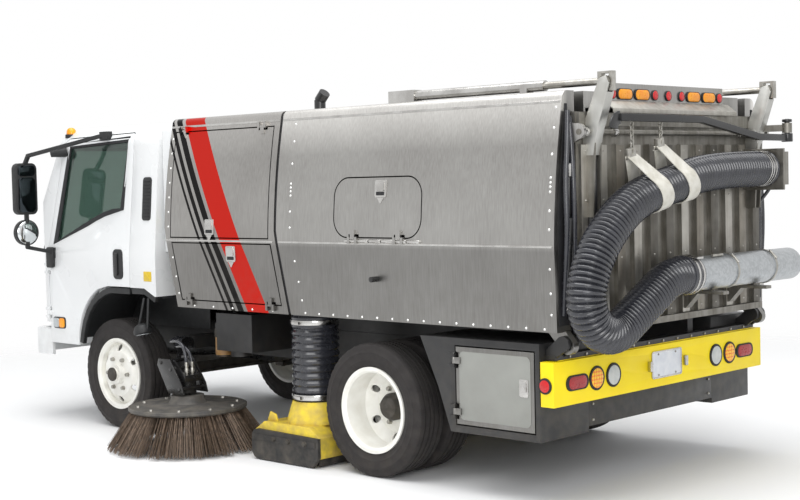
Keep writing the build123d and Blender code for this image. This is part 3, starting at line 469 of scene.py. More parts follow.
ZINC = Finish(
    "zinc_plate", "galvanised", "#B4B2AC", "#99968F", 40, metallic=1.0, roughness=0.38, grain_mm=2,
    grain=0.05)
CHROME = Finish(
    "mirror_glass", "grey_metal", "#DFE3E4", "#D3D7D8", 200, metallic=1.0, roughness=0.04, swing=0.01,
    grain=0.0)
# mirror glass given a dark grey colour: a painted reflection of dark surroundings
MIRROR_PAINTED_DARK = replace(CHROME, name="shaded_mirror_glass", colour="#43494D", shade="#3A3F43", roughness=0.05)
ARM_PALE = Finish(
    "satin_plate", "stainless", "#C6C6C2", "#B2B1AC", 140, metallic=0.75, roughness=0.4, grain_mm=4,
    grain=0.05, dust="#7C766B", dust_top=2.3, dust_share=0.2)
CAST_GREY = Finish(
    "cast_iron", "grey_metal", "#55524E", "#3C3A37", 60, metallic=0.6, roughness=0.62, grain_mm=3, grain=0.25,
    dust="#6E665A", dust_top=0.9, dust_share=0.5)
# Chassis enamel, semi-gloss black under road dust.
FRAME_BLACK = Finish(
    "chassis_enamel", "black_paint", "#1F1F20", "#29292A", 200, roughness=0.42, grain_mm=4, grain=0.06,
    dust="#5C564C", dust_top=1.0, dust_share=0.45)
GLOSS_BLACK = Finish(
    "black_enamel", "black_paint", "#151516", "#1E1E1F", 200, roughness=0.3, grain_mm=4, grain=0.04, coat=0.2,
    dust="#4A463F", dust_top=0.9, dust_share=0.25)
TRIM_BLACK = Finish(
    "moulded_black", "trim", "#1C1D1E", "#242526", 80, roughness=0.55, grain_mm=1.6, grain=0.12)
INSIDE_GREY = Finish(
    "moulded_grey", "trim", "#44474A", "#3B3E41", 120, roughness=0.6, grain_mm=1.8, grain=0.15)
# Carbon-black rubber, matt, dusty on the sides.
TYRE_BLACK = Finish(
    "tyre_rubber", "tyre", "#221F1F", "#2A2726", 120, roughness=0.82, grain_mm=3, grain=0.12, dust="#655B52",
    dust_top=0.9, dust_share=0.16)
HOSE_BLACK = Finish(
    "hose_rubber", "rubber", "#2A2B30", "#34353B", 90, roughness=0.25, grain_mm=3, grain=0.05, coat=0.4)
FLAP_BLACK = Finish(
    "flap_rubber", "rubber", "#242425", "#302F2E", 90, roughness=0.7, grain_mm=5, grain=0.15, dust="#6B645A",
    dust_top=0.3, dust_share=0.5)
SEAL_BLACK = Finish("seal_rubber", "rubber", "#17171A", "#202022", 60, roughness=0.68, grain_mm=2, grain=0.06)
# Tinted float glass and moulded acrylic, smooth and clear over prisms.
GLASS = Finish(
    "tinted_glass", "glass", "#829A90", "#7A9288", 900, roughness=0.03, swing=0.01, grain=0.0,
    transmission=0.92)
AMBER = Lens("amber_acrylic", "lens", "#FFA80A", "#FA9602", 40, roughness=0.3, grain=0.25, coat=0.25)
RED = replace(AMBER, name="red_acrylic", colour="#DA1418", shade="#C00E12")
STOP_RED = replace(AMBER, name="deep_red_acrylic", colour="#A8191C", shade="#961316", coat=0.2)
TURN_AMBER = Diodes(
    "dotted_amber_acrylic", "lens", "#FFC61A", "#F2780A", 40, roughness=0.3, grain=0.2, coat=0.25)
CLEAR = Lens(
    "clear_acrylic", "lens", "#DEE3E5", "#C9D0D3", 40, roughness=0.12, grain=0.3, coat=0.6, transmission=0.3)
# Reflective sheet, stamped plate, woven polyester and wool, tinplate, spring wire and worn paint.
AMBER_MARK = Finish(
    "reflective_sheet", "lens", "#E3C21E", "#D3B218", 20, roughness=0.35, grain_mm=5, grain=0.1, coat=0.4)
PLATE_WHITE = Finish("plate_enamel", "trim", "#E4E6EA", "#D5D9E0", 60, roughness=0.4, grain_mm=4, grain=0.02)
WEBBING = Woven("polyester_webbing", "trim", "#E2DFD5", "#CBC7BA", 60, roughness=0.85, grain=0.35, sheen=0.2)
SEAT_CLOTH = Woven(
    "seat_cloth", "trim", "#4A4E53", "#3E4247", 60, roughness=0.9, grain=0.3, sheen=0.3, thread_mm=4)
FILTER_TAN = Finish(
    "filter_enamel", "grey_metal", "#B58A58", "#A07846", 60, roughness=0.4, grain_mm=4, grain=0.03,
    dust="#5C564C", dust_top=0.9, dust_share=0.3)
BRISTLE = Finish(
    "sprung_wire", "bristle", "#7D6A5A", "#50443A", 25, metallic=0.35, roughness=0.6, grain=0.0,
    dust="#6A5C4E", dust_top=0.3, dust_share=0.5)
PLATE_GREY = Finish(
    "worn_disc_paint", "grey_metal", "#4E4D4C", "#6A6661", 70, metallic=0.3, roughness=0.6, grain_mm=6,
    grain=0.2, dust="#77705F", dust_top=0.5, dust_share=0.5)


def dress(finish: Finish, *nodes: str) -> None:
    """Give solids of the frame a finish.

    Args:
        finish: The finish.
        nodes: Names of the solids.
    """
    for name in nodes:
        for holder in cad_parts[name].material_slots:
            holder.material = finish.material()


# Meshes

def side_half(up: float) -> float:
    """Half width of the body: a straight wall below the seam and an arc above it.

    Args:
        up: Height in millimetres.

    Returns:
        Half width in millimetres.
    """
    if up <= SEAM_Z:
        foot, ground = SIDE_FOOT
        return foot + (SIDE_ARC[0][0] - foot) * (up - ground) / (SEAM_Z - ground)
    (ax, ay), (bx, by), (cx, cy) = SIDE_ARC
    d = 2 * (ax * (by - cy) + bx * (cy - ay) + cx * (ay - by))
    a2, b2, c2 = ax * ax + ay * ay, bx * bx + by * by, cx * cx + cy * cy
    mid_x = (a2 * (by - cy) + b2 * (cy - ay) + c2 * (ay - by)) / d
    mid_y = (a2 * (cx - bx) + b2 * (ax - cx) + c2 * (bx - ax)) / d
    return mid_x + math.sqrt((ax - mid_x) ** 2 + (ay - mid_y) ** 2 - (up - mid_y) ** 2)


def stand(name: str, data: bpy.types.ID) -> Object:
    """Put an object into the scene.

    Args:
        name: Name of the object.
        data: Its mesh, curve, lamp or camera.

    Returns:
        The object.
    """
    made = bpy.data.objects.new(name, data)
    bpy.context.scene.collection.objects.link(made)
    return made


def evaluated(made: Object) -> bpy.types.Mesh:
    """Plain mesh of an object with its modifiers."""
    return bpy.data.meshes.new_from_object(made.evaluated_get(bpy.context.evaluated_depsgraph_get()))


def plain(bm: bmesh.types.BMesh, name: str) -> bpy.types.Mesh:
    """Turn a mesh in the making into a named mesh.

    Args:
        bm: The mesh in the making, which is freed.
        name: Name of the mesh.

    Returns:
        The mesh.
    """
    mesh = bpy.data.meshes.new(name)
    bm.to_mesh(mesh)
    bm.free()
    return mesh


def ring_points(origin: Vector, axis: Vector, radius: float, steps: int) -> list[Vector]:
    """Points of a circle round an axis.

    Args:
        origin: Middle of the circle.
        axis: Direction that the circle faces.
        radius: Radius in metres.
        steps: Number of points.

    Returns:
        The points in order.
    """
    one = axis.orthogonal().normalized()
    two = axis.normalized().cross(one)
    return [
        origin + radius * (math.cos(t) * one + math.sin(t) * two)
        for t in (2 * math.pi * i / steps for i in range(steps))]


class Shape:
    """A mesh in the making, in metres in the shared frame."""

    def __init__(self) -> None:
        """Start with no faces."""
        self.bm = bmesh.new()

    def skin(self, rings: Sequence[Sequence[Vector]], round_path: bool = False, caps: bool = True) -> "Shape":
        """Join closed rings of points by quads.

        Args:
            rings: Rings with the same number of points.
            round_path: Whether the last ring joins the first.
            caps: Whether the two ends are closed.

        Returns:
            This shape.
        """
        loops = [[self.bm.verts.new(point) for point in ring] for ring in rings]
        pairs = list(zip(loops, loops[1:]))
        if round_path:
            pairs.append((loops[-1], loops[0]))
        for a, b in pairs:
            for i in range(len(a)):
                j = (i + 1) % len(a)
                self.bm.faces.new((a[i], a[j], b[j], b[i]))
        if caps and not round_path:
            self.bm.faces.new(loops[0][::-1])
            self.bm.faces.new(loops[-1])
        return self

    def prism(self, outline: Sequence[Vector], along: Vector) -> "Shape":
        """Extrude a closed flat outline."""
        return self.skin([list(outline), [point + along for point in outline]])

    def box(self, low: Vector, high: Vector) -> "Shape":
        """Add a box.

        Args:
            low: One corner.
            high: The corner opposite.

        Returns:
            This shape.
        """
        xs, ys, zs = (sorted((low[i], high[i])) for i in range(3))
        outline = [Vector((xs[i], ys[j], zs[0])) for i, j in ((0, 0), (1, 0), (1, 1), (0, 1))]
        return self.prism(outline, Vector((0, 0, zs[1] - zs[0])))

    def rod(
            self, start: Vector, end: Vector, radius: float, tip: float | None = None,
            steps: int = 20) -> "Shape":
        """Add a round bar, tapered where a tip is given.

        Args:
            start: Middle of its first end.
            end: Middle of its other end.
            radius: Radius at the start in millimetres.
            tip: Radius at the end in millimetres, the same unless given.
            steps: Number of sides.

        Returns:
            This shape.
        """
        axis = end - start
        ends = ((start, radius), (end, radius if tip is None else tip))
        return self.skin([ring_points(point, axis, wide * MM, steps) for point, wide in ends])

    def lathe(self, origin: Vector, axis: Vector, profile: Pairs, steps: int = 48) -> "Shape":
        """Turn a closed profile about an axis.

        Args:
            origin: Point on the axis.
            axis: Direction of the axis.
            profile: (radius, along) pairs in millimetres, in order round the section.
            steps: Number of steps round the axis.

        Returns:
            This shape.
        """
        way = axis.normalized()
        one = way.orthogonal().normalized()
        two = way.cross(one)
        rings = []
        for i in range(steps):
            t = 2 * math.pi * i / steps
            out = math.cos(t) * one + math.sin(t) * two
            rings.append([origin + out * (r * MM) + way * (h * MM) for r, h in profile])
        return self.skin(rings, round_path=True)

    def sweep(self, path: Sequence[Vector], section: Pairs, up: Vector, closed: bool = False) -> "Shape":
        """Carry a section along a path.

        Args:
            path: Points of the path.
            section: (sideways, up) pairs in metres.
            up: Direction that the section's height keeps to.
            closed: Whether the path runs back to its start.

        Returns:
            This shape.
        """
        rings = []
        count = len(path)
        for i, point in enumerate(path):
            ahead = path[(i + 1) % count] if closed or i + 1 < count else point
            back = path[i - 1] if closed or i else point
            way = (ahead - back).normalized()
            wide = way.cross(up).normalized()
            tall = wide.cross(way).normalized()
            bend = 1.0
            if closed or 0 < i < count - 1:
                turn = (ahead - point).normalized().dot((point - back).normalized())
                bend = 1 / math.sqrt(max(0.25, (1 + turn) / 2))
            rings.append([point + wide * a * bend + tall * b for a, b in section])
        return self.skin(rings, round_path=closed)

    def on_side(
            self, outline: Pairs, half: Callable[[float], float], sign: float, low: float,
            high: float) -> "Shape":
        """Add a plate of (behind, up) points that follows a wall, between two offsets from its half width."""
        return self.skin([[spot(x, sign * (half(z) + lift), z) for x, z in outline] for lift in (low, high)])

    def on_back(self, outline: Pairs, low: float, high: float) -> "Shape":
        """Add a plate of (across, up) points between two distances behind the front axle."""
        return self.skin([[spot(x, y, z) for y, z in outline] for x in (low, high)])

    def piece(
            self, name: str, finish: Finish, body: str, bevel: float = 0.0, sharp: float = 38.0,
            replaces: Sequence[str] = ()) -> None:
        """Turn the mesh into a piece that rides on a body.

        Args:
            name: Name of the piece.
            finish: Its finish.
            body: Body that carries it.
            bevel: Width of its rounded edges in millimetres.
            sharp: Angle in degrees above which an edge stays crisp.
            replaces: Solids of the frame that it stands for.
        """
        bmesh.ops.remove_doubles(self.bm, verts=self.bm.verts, dist=1e-6)
        bmesh.ops.recalc_face_normals(self.bm, faces=self.bm.faces)
        settle(plain(self.bm, name), name, finish, body, bevel, sharp, replaces)


def settle(
        mesh: bpy.types.Mesh, name: str, finish: Finish, body: str, bevel: float = 0.0, sharp: float = 38.0,
        replaces: Sequence[str] = ()) -> Object:
    """Make an object of a finished mesh, round its edges, dress it and let it ride.

    Args:
        mesh: The mesh, in the shared frame.
        name: Name of the piece.
        finish: Its finish.
        body: Body that carries it.
        bevel: Width of its rounded edges in millimetres.
        sharp: Angle in degrees above which an edge stays crisp.
        replaces: Solids of the frame that it stands for.

    Returns:
        The piece.
    """
    mesh.materials.clear()
    mesh.materials.append(finish.material())
    made = stand(name, mesh)
    if bevel:
        edge = made.modifiers.new("edges", "BEVEL")
        edge.width = bevel * MM
        edge.segments = 2
        edge.limit_method = "ANGLE"
        edge.angle_limit = math.radians(28)
        rounded = evaluated(made)
        made.modifiers.clear()
        made.data = rounded
    made.data.shade_smooth()
    made.data.set_sharp_from_angle(angle=math.radians(sharp))
    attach(made, body)
    if replaces:
        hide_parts(*replaces)
    LOG.info("%s on %s", name, body)
    return made


def softened(
        node: str, finish: Finish, width: float, body: str, name: str = "", rear: float = math.inf) -> None:
    """Stand in for a solid by a copy whose crisp edges are rounded.

    Args:
        node: Name of the solid.
        finish: Finish of the copy.
        width: Width of the rounding in millimetres.
        body: Body that carries it.
        name: Name of the copy, the node's with an ending unless given.
        rear: Where the copy ends behind the front axle; what lies further back is left out.
    """
    bm = bmesh.new()
    bm.from_mesh(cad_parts[node].data)
    bmesh.ops.remove_doubles(bm, verts=bm.verts, dist=2e-5)
    limit = FRONT_AXLE - rear * MM
    bmesh.ops.delete(bm, geom=[vert for vert in bm.verts if vert.co.x < limit], context="VERTS")
    bmesh.ops.dissolve_limit(bm, angle_limit=math.radians(0.6), verts=bm.verts, edges=bm.edges)
    name = name or node + "_soft"
    settle(plain(bm, name), name, finish, body, width, 40.0, [node])


# Repeats

def new_tree(name: str, sizes: Sequence[str]) -> tuple[Tree, Entry]:
    """Start a geometry tree with a named input for each size.

    Args:
        name: Name of the tree.
        sizes: Names of its inputs.

    Returns:
        The tree and the outputs of its input node.
    """
    tree = bpy.data.node_groups.new(name, "GeometryNodeTree")
    tree.interface.new_socket("Geometry", in_out="INPUT", socket_type="NodeSocketGeometry")
    for size in sizes:
        tree.interface.new_socket(size, in_out="INPUT", socket_type="NodeSocketFloat")
    tree.interface.new_socket("Geometry", in_out="OUTPUT", socket_type="NodeSocketGeometry")
    return tree, put(tree, "NodeGroupInput").node.outputs


def end_tree(tree: Tree, shape: Socket, finish: Finish) -> None:
    """Close a geometry tree with real meshes in one finish.

    Args:
        tree: The tree.
        shape: Geometry to hand out.
        finish: Finish of the result.
    """
    real = put(tree, "RealizeInstances", {0: shape})
    dressed = put(tree, "SetMaterial", {0: real, "Material": finish.material()})
    put(tree, "NodeGroupOutput", {0: dressed})


def grown(base: bpy.types.ID, tree: Tree, sizes: dict[str, float]) -> bpy.types.Mesh:
    """Run a geometry tree on a mesh or curve and hand back the plain mesh.

    Args:
        base: Mesh or curve that the tree starts from.
        tree: The tree.
        sizes: Value of each named input.

    Returns:
        The plain mesh.
    """
    carrier = stand("carrier", base)
    step = carrier.modifiers.new("grown", "NODES")
    step.node_group = tree
    for item in tree.interface.items_tree:
        if item.in_out == "INPUT" and item.name in sizes:
            step[item.identifier] = sizes[item.name]
    mesh = evaluated(carrier)
    bpy.data.objects.remove(carrier)
    return mesh


def aimed(way: Vector) -> Vector:
    """Turn that points a piece's Z along a direction, as Euler angles."""
    return Vector(way.to_track_quat("Z", "Y").to_euler())


@dataclass
class Repeat:
    """Like pieces set out over points by Geometry Nodes, with sizes in metres."""

    name: str
    finish: Finish
    body: str
    sizes: dict[str, float]

    def member(self, tree: Tree, entry: Entry) -> Socket:
        """Geometry of one piece, standing on the origin along Z."""
        raise NotImplementedError

    def build(self, places: Places, sharp: float = 38.0) -> None:
        """Set the pieces out as one piece.

        Args:
            places: Point and Euler turn of each piece.
            sharp: Angle in degrees above which an edge stays crisp.
        """
        seeds = bpy.data.meshes.new(self.name + "_points")
        seeds.from_pydata([point for point, _ in places], [], [])
        turns = seeds.attributes.new("turn", "FLOAT_VECTOR", "POINT")
        turns.data.foreach_set("vector", [value for _, turn in places for value in turn])
        tree, entry = new_tree(self.name, list(self.sizes))
        euler = put(tree, "InputNamedAttribute", {"Name": "turn"}, data_type="FLOAT_VECTOR")
        turn = put(tree, "EulerToRotation", {0: euler})
        placed = put(
            tree, "InstanceOnPoints",
            {"Points": entry["Geometry"], "Instance": self.member(tree, entry), "Rotation": turn})
        end_tree(tree, placed, self.finish)
        settle(grown(seeds, tree, self.sizes), self.name, self.finish, self.body, sharp=sharp)


@dataclass
class Heads(Repeat):
    """Rivet, bolt or nut heads: short cones of a few sides."""

    sides: int = 8

    def member(self, tree: Tree, entry: Entry) -> Socket:
        """One head."""
        cone = put(
            tree, "MeshCone", {
                "Vertices": self.sides, "Radius Bottom": entry["Radius"], "Radius Top": entry["Top"],
                "Depth": entry["Height"]}, out="Mesh")
        return cone


@dataclass
class Blocks(Repeat):
    """Small blocks, such as tread lugs."""

    def member(self, tree: Tree, entry: Entry) -> Socket:
        """One block round the origin."""
        size = put(tree, "CombineXYZ", {0: entry["Length"], 1: entry["Width"], 2: entry["Height"]})
        return put(tree, "MeshCube", {"Size": size}, out="Mesh")


@dataclass
class Links(Repeat):
    """Oval chain links."""

    def member(self, tree: Tree, entry: Entry) -> Socket:
        """One link along Z.

        Args:
            tree: Tree that sets the links out.
            entry: Its named sizes.

        Returns:
            The link's mesh.
        """
        ring = put(tree, "CurvePrimitiveCircle", {"Resolution": 12, "Radius": 0.5})
        size = put(tree, "CombineXYZ", {0: entry["Width"], 1: entry["Length"], 2: 1.0})
        oval = put(tree, "Transform", {"Geometry": ring, "Rotation": (math.pi / 2, 0, 0), "Scale": size})
        wire = put(tree, "CurvePrimitiveCircle", {"Resolution": 6, "Radius": entry["Wire"]})
        return put(tree, "CurveToMesh", {0: oval, 1: wire})


def heads(
        name: str, finish: Finish, body: str, radius: float, height: float, places: Places, top: float = 0.55,
        sides: int = 8) -> None:
    """Set heads out as one piece.

    Args:
        name: Name of the piece.
        finish: Its finish.
        body: Body that carries it.
        radius: Radius of a head's foot in millimetres.
        height: Height of a head in millimetres.
        places: Point and outward direction of each head.
        top: Radius of a head's top as a share of the foot's.
        sides: Number of sides of a head.
    """
    sizes = {"Radius": radius * MM, "Top": radius * top * MM, "Height": height * MM}
    Heads(name, finish, body, sizes, sides).build([(point, aimed(way)) for point, way in places])


def route(points: Sequence[Vector]) -> bpy.types.Curve:
    """Smooth line of a route.

    Args:
        points: Its control points.

    Returns:
        The curve, without thickness.
    """
    curve = bpy.data.curves.new("route", "CURVE")
    curve.dimensions = "3D"
    line = curve.splines.new("NURBS")
    line.points.add(len(points) - 1)
    for knot, point in zip(line.points, points):
        knot.co = (*point, 1.0)
    line.order_u = 3
    line.use_endpoint_u = True
    line.resolution_u = 16
    return curve


def laid(points: Sequence[Vector]) -> list[Vector]:
    """Follow the smooth line of a route.

    Args:
        points: Control points of the line.

    Returns:
        Points along the line.
    """
    holder = stand("route", route(points))
    mesh = bpy.data.meshes.new_from_object(holder)
    bpy.data.objects.remove(holder)
    return [vert.co.copy() for vert in mesh.vertices]


def cord(name: str, points: Sequence[Vector], radius: float, body: str) -> None:
    """Lay a free rubber hose between two fittings.

    Args:
        name: Name of the hose.
        points: Its route.
        radius: Its radius in millimetres.
        body: Body that carries it.
    """
    path = laid(points)
    length = sum((b - a).length for a, b in zip(path, path[1:]))
    curve = route(points)
    curve.bevel_depth = radius * MM
    curve.bevel_resolution = 3
    curve.use_fill_caps = True
    curve.materials.append(HOSE_BLACK.material())
    made = stand(name, curve)
    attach(made, body)
    LOG.info("%s on %s", name, body)


def oblong(
        low: tuple[float, float], high: tuple[float, float], radius: float,
        steps: int = 6) -> list[tuple[float, float]]:
    """Outline of a rectangle with rounded corners.

    Args:
        low: Lowest corner.
        high: Highest corner.
        radius: Radius of the corners.
        steps: Steps round each corner.

    Returns:
        Points in order.
    """
    corners = (
        (high[0] - radius, high[1] - radius, 0), (low[0] + radius, high[1] - radius, 90),
        (low[0] + radius, low[1] + radius, 180), (high[0] - radius, low[1] + radius, 270))
    points = []
    for u, v, start in corners:
        for i in range(steps + 1):
            t = math.radians(start + 90 * i / steps)
            points.append((u + radius * math.cos(t), v + radius * math.sin(t)))
    return points


# Sub-assemblies

@dataclass
class Wheels:
    """Tyres with tread, wheel nuts and hub covers."""

    radius: float = 405.0
    front_y: float = 832.5
    rear_y: tuple[float, float] = (957.0, 693.0)
    lug_count: int = 42
    lug_shift: float = 88.0
    lug_radius: float = 392.5
    nut_circle: float = 118.0

    def section(self) -> list[tuple[float, float]]:
        """Section of a tyre as (radius, along), with bead rings and five tread ribs."""
        half = [
            (250, 86), (262, 88), (270, 95), (292, 104), (300, 107), (303, 109.5), (307, 109.5), (310, 108.5),
            (335, 112), (346, 112), (348, 113.5), (353, 113.5), (355, 111), (374, 104), (388, 101), (396, 97),
            (401, 91), (404, 84), (405, 66), (392, 63), (392, 54), (405, 51), (405, 25), (392, 22), (392, 12),
            (405, 9)]
        return half + [(r, -y) for r, y in reversed(half)]

    def tyre(self, name: str, back: float, across: Sequence[float], body: str, node: str) -> None:
        """Build the tyres of one node with their shoulder lugs.

        Args:
            name: Name of the piece.
            back: Axle's distance behind the front axle.
            across: Middle of each tyre.
            body: Body that carries them.
            node: Solid that they stand for.
        """
        shape = Shape()
        lugs = []
        for y in across:
            shape.lathe(spot(back, y, self.radius), Vector((0, 1, 0)), self.section(), 90)
            for i in range(self.lug_count):
                for side, shift in ((1, 0.0), (-1, 0.5)):
                    t = 2 * math.pi * (i + shift) / self.lug_count
                    out = Vector((math.sin(t), 0, math.cos(t)))
                    middle = spot(back, y + side * self.lug_shift, self.radius) + out * self.lug_radius * MM
                    lugs.append((middle, Vector((0, t, 0))))
        shape.piece(name, TYRE_BLACK, body, replaces=[node])
        sizes = {"Length": 0.036, "Width": 0.015, "Height": 0.0165}
        Blocks(name + "_lugs", TYRE_BLACK, body, sizes).build(lugs)

    def nuts(self, name: str, back: float, across: float, side: Side, body: str) -> None:
        """Set six nuts on a wheel's disc.

        Args:
            name: Name of the piece.
            back: Axle's distance behind the front axle.
            across: Where the disc's face is.
            side: Side of the truck.
            body: Body that carries them.
        """
        places = []
        for i in range(6):
            t = math.radians(60 * i)
            u, v = self.nut_circle * math.cos(t), self.nut_circle * math.sin(t)
            places.append((spot(back + u, across, self.radius + v), side.out))
        heads(name, ZINC, body, 17, 24, places, 0.8, 6)

    def build(self) -> None:
        """Build all wheels."""
        for side in Side:
            s = side.sign
            front = "front_wheel_" + side.word
            rear = "rear_wheels_" + side.word
            self.tyre("front_tread_" + side.word, 0, [s * self.front_y], front, "front_tyre_" + side.word)
            self.tyre(
                "rear_tread_" + side.word, WHEELBASE, [s * y for y in self.rear_y], rear,
                "rear_tyres_" + side.word)
            self.nuts("front_nuts_" + side.word, 0, s * (self.front_y + 94), side, front)
            self.nuts("rear_nuts_" + side.word, WHEELBASE, s * 836, side, rear)
            cover = [(0, 0), (84, 0), (84, 50), (78, 62), (64, 84), (50, 88), (0, 88)]
            shape = Shape().lathe(spot(WHEELBASE, s * 838, self.radius), side.out, cover)
            shape.piece("rear_hub_cover_" + side.word, CAST_GREY, rear)
            cap = [(0, 0), (50, 0), (50, 10), (44, 16), (0, 18)]
            shape = Shape().lathe(spot(0, s * (self.front_y + 148), self.radius), side.out, cap)
            shape.piece("front_hub_cap_" + side.word, CAST_GREY, front)


@dataclass
class Brooms:
    """Gutter brooms of spring wire on dished plates, with their motor hoses."""

    back: float = 1041.144
    across: float = 1102.0
    radius: float = 559.9
    gap_deg: float = 6.0
    root_up: float = 266.0
    root_shares: tuple[float, float] = (0.43, 0.685)
    density: float = 7000.0
    drop: float = 0.255
    spread: float = 0.178

    def roots(self, sign: float) -> bpy.types.Mesh:
        """Five ring sectors that the wires grow from.

        Args:
            sign: Side of the truck.

        Returns:
            The flat mesh.
        """
        shape = Shape()
        inner, outer = (share * self.radius for share in self.root_shares)
        for part in range(5):
            points = []
            for r, order in ((inner, range(13)), (outer, reversed(range(13)))):
                for i in order:
                    t = math.radians(72 * part + self.gap_deg / 2 + (72 - self.gap_deg) * i / 12)
                    points.append((r, t))
            for i in range(12):
                quad = [points[i], points[i + 1], points[24 - i], points[25 - i]]
                corners = []
                for r, t in quad:
                    y = sign * (self.across + r * math.sin(t))
                    corners.append(shape.bm.verts.new(spot(self.back + r * math.cos(t), y, self.root_up)))
                shape.bm.faces.new(corners)
        return plain(shape.bm, "broom_roots")

    def wires(self, side: Side) -> None:
        """Grow the wires, drawn as tufts of several wires so that they show in the picture.

        Args:
            side: Side of the truck.
        """
        centre = spot(self.back, side.sign * self.across, self.root_up)
        tree, entry = new_tree("bristles", ("Length", "Wire", "Spread", "Drop"))
        roots = put(
            tree, "DistributePointsOnFaces", {"Mesh": entry["Geometry"], "Density": self.density, "Seed": 7})
        place = put(tree, "InputPosition")
        away = put(tree, "VectorMath", {0: place, 1: tuple(centre)}, operation="SUBTRACT")
        out = put(tree, "VectorMath", {0: away}, operation="NORMALIZE")
        wide = put(tree, "VectorMath", {0: out, "Scale": entry["Spread"]}, operation="SCALE")
        fall = put(tree, "VectorMath", {0: (0, 0, -1), "Scale": entry["Drop"]}, operation="SCALE")
        way = put(tree, "VectorMath", {0: wide, 1: fall}, operation="ADD")
        stray = put(
            tree, "RandomValue", {0: (-0.012, -0.012, -0.004), 1: (0.012, 0.012, 0.004), "Seed": 3},
            data_type="FLOAT_VECTOR")
        way = put(tree, "VectorMath", {0: way, 1: stray}, operation="ADD")
        turn = put(tree, "AlignRotationToVector", {"Vector": way}, axis="Z")
        tip = put(tree, "Math", {0: entry["Wire"], 1: 0.6}, operation="MULTIPLY")
        wire = put(
            tree, "MeshCone", {
                "Vertices": 4, "Radius Bottom": entry["Wire"], "Radius Top": tip, "Depth": entry["Length"]},
            out="Mesh")
        size = put(tree, "RandomValue", {2: 0.94, 3: 1.0, "Seed": 5}, out=1)
        grown_wires = put(
            tree, "InstanceOnPoints", {"Points": roots, "Instance": wire, "Rotation": turn, "Scale": size})
        end_tree(tree, grown_wires, BRISTLE)
        sizes = {"Length": 0.306, "Wire": 0.0028, "Spread": self.spread, "Drop": self.drop}
        mesh = grown(self.roots(side.sign), tree, sizes)
        settle(mesh, "bristles_" + side.word, BRISTLE, "broom_" + side.word, replaces=["broom_" + side.word])

    def plate(self, side: Side) -> None:
        """Dished plate with a rolled rim and the bolts of its segments.

        Args:
            side: Side of the truck.
        """
        s = side.sign
        r = self.radius
        body = "broom_" + side.word
        profile = [
            (21, 285), (200, 272), (0.69 * r, 266), (0.7 * r, 264), (0.716 * r, 274), (0.716 * r, 292),
            (0.7 * r, 296), (0.68 * r, 290), (240, 294), (130, 308), (115, 330), (112, 360), (21, 360)]
        shape = Shape().lathe(spot(self.back, s * self.across, 0), UP, profile, 72)
        shape.piece("broom_plate_" + side.word, PLATE_GREY, body)
        places = []
        for i in range(10):
            t = math.radians(36 * i + 12)
            u, v = 0.6 * r * math.cos(t), 0.6 * r * math.sin(t)
            places.append((spot(self.back + u, s * (self.across + v), 290), UP))
        heads("broom_bolts_" + side.word, ZINC, body, 13, 14, places, 0.85, 6)

    def hoses(self, side: Side) -> None:
        """Arm with its cheek plates and two motor hoses with fittings.

        Args:
            side: Side of the truck.
        """
        s = side.sign
        arm = "broom_arm_" + side.word
        softened(arm, GLOSS_BLACK, 6, arm)
        # shift across, height of the hump
        for index, (shift, hump) in enumerate(((-24, 690), (24, 730))):
            x = self.back
            y = s * self.across + shift
            points = [
                spot(x + 30, y, 520), spot(x + 30, y, hump - 60), spot(x - 60, y, hump),
                spot(x - 220, y - s * 40, hump - 30), spot(x - 330, s * (880 + shift), 720),
                spot(540, s * (742 + shift), 685)]
            cord("broom_hose_%d_%s" % (index, side.word), points, 11, arm)
            fitting = Shape().rod(spot(x + 30, y, 498), spot(x + 30, y, 545), 16, steps=6)
            fitting.rod(spot(x + 30, y, 540), spot(x + 30, y, 585), 13)
            fitting.piece("hose_fitting_%d_%s" % (index, side.word), ZINC, arm, 2)
        cheek = ((-72, 374), (96, 374), (74, 440), (-52, 606), (-176, 606), (-190, 560))
        cheeks = Shape()
        for y in (self.across - 106, self.across + 94):
            cheeks.prism([spot(self.back + x, s * y, z) for x, z in cheek], Vector((0, s * 0.012, 0)))
        for x, z in ((-150, 580), (-40, 540), (52, 410)):
            ends = [spot(self.back + x, s * (self.across + y), z) for y in (-112, 112)]
            cheeks.rod(*ends, 14)
        cheeks.piece("arm_cheeks_" + side.word, GLOSS_BLACK, arm, 3)

    def build(self) -> None:
        """Build both brooms."""
        for side in Side:
            self.hoses(side)
            self.wires(side)
            self.plate(side)


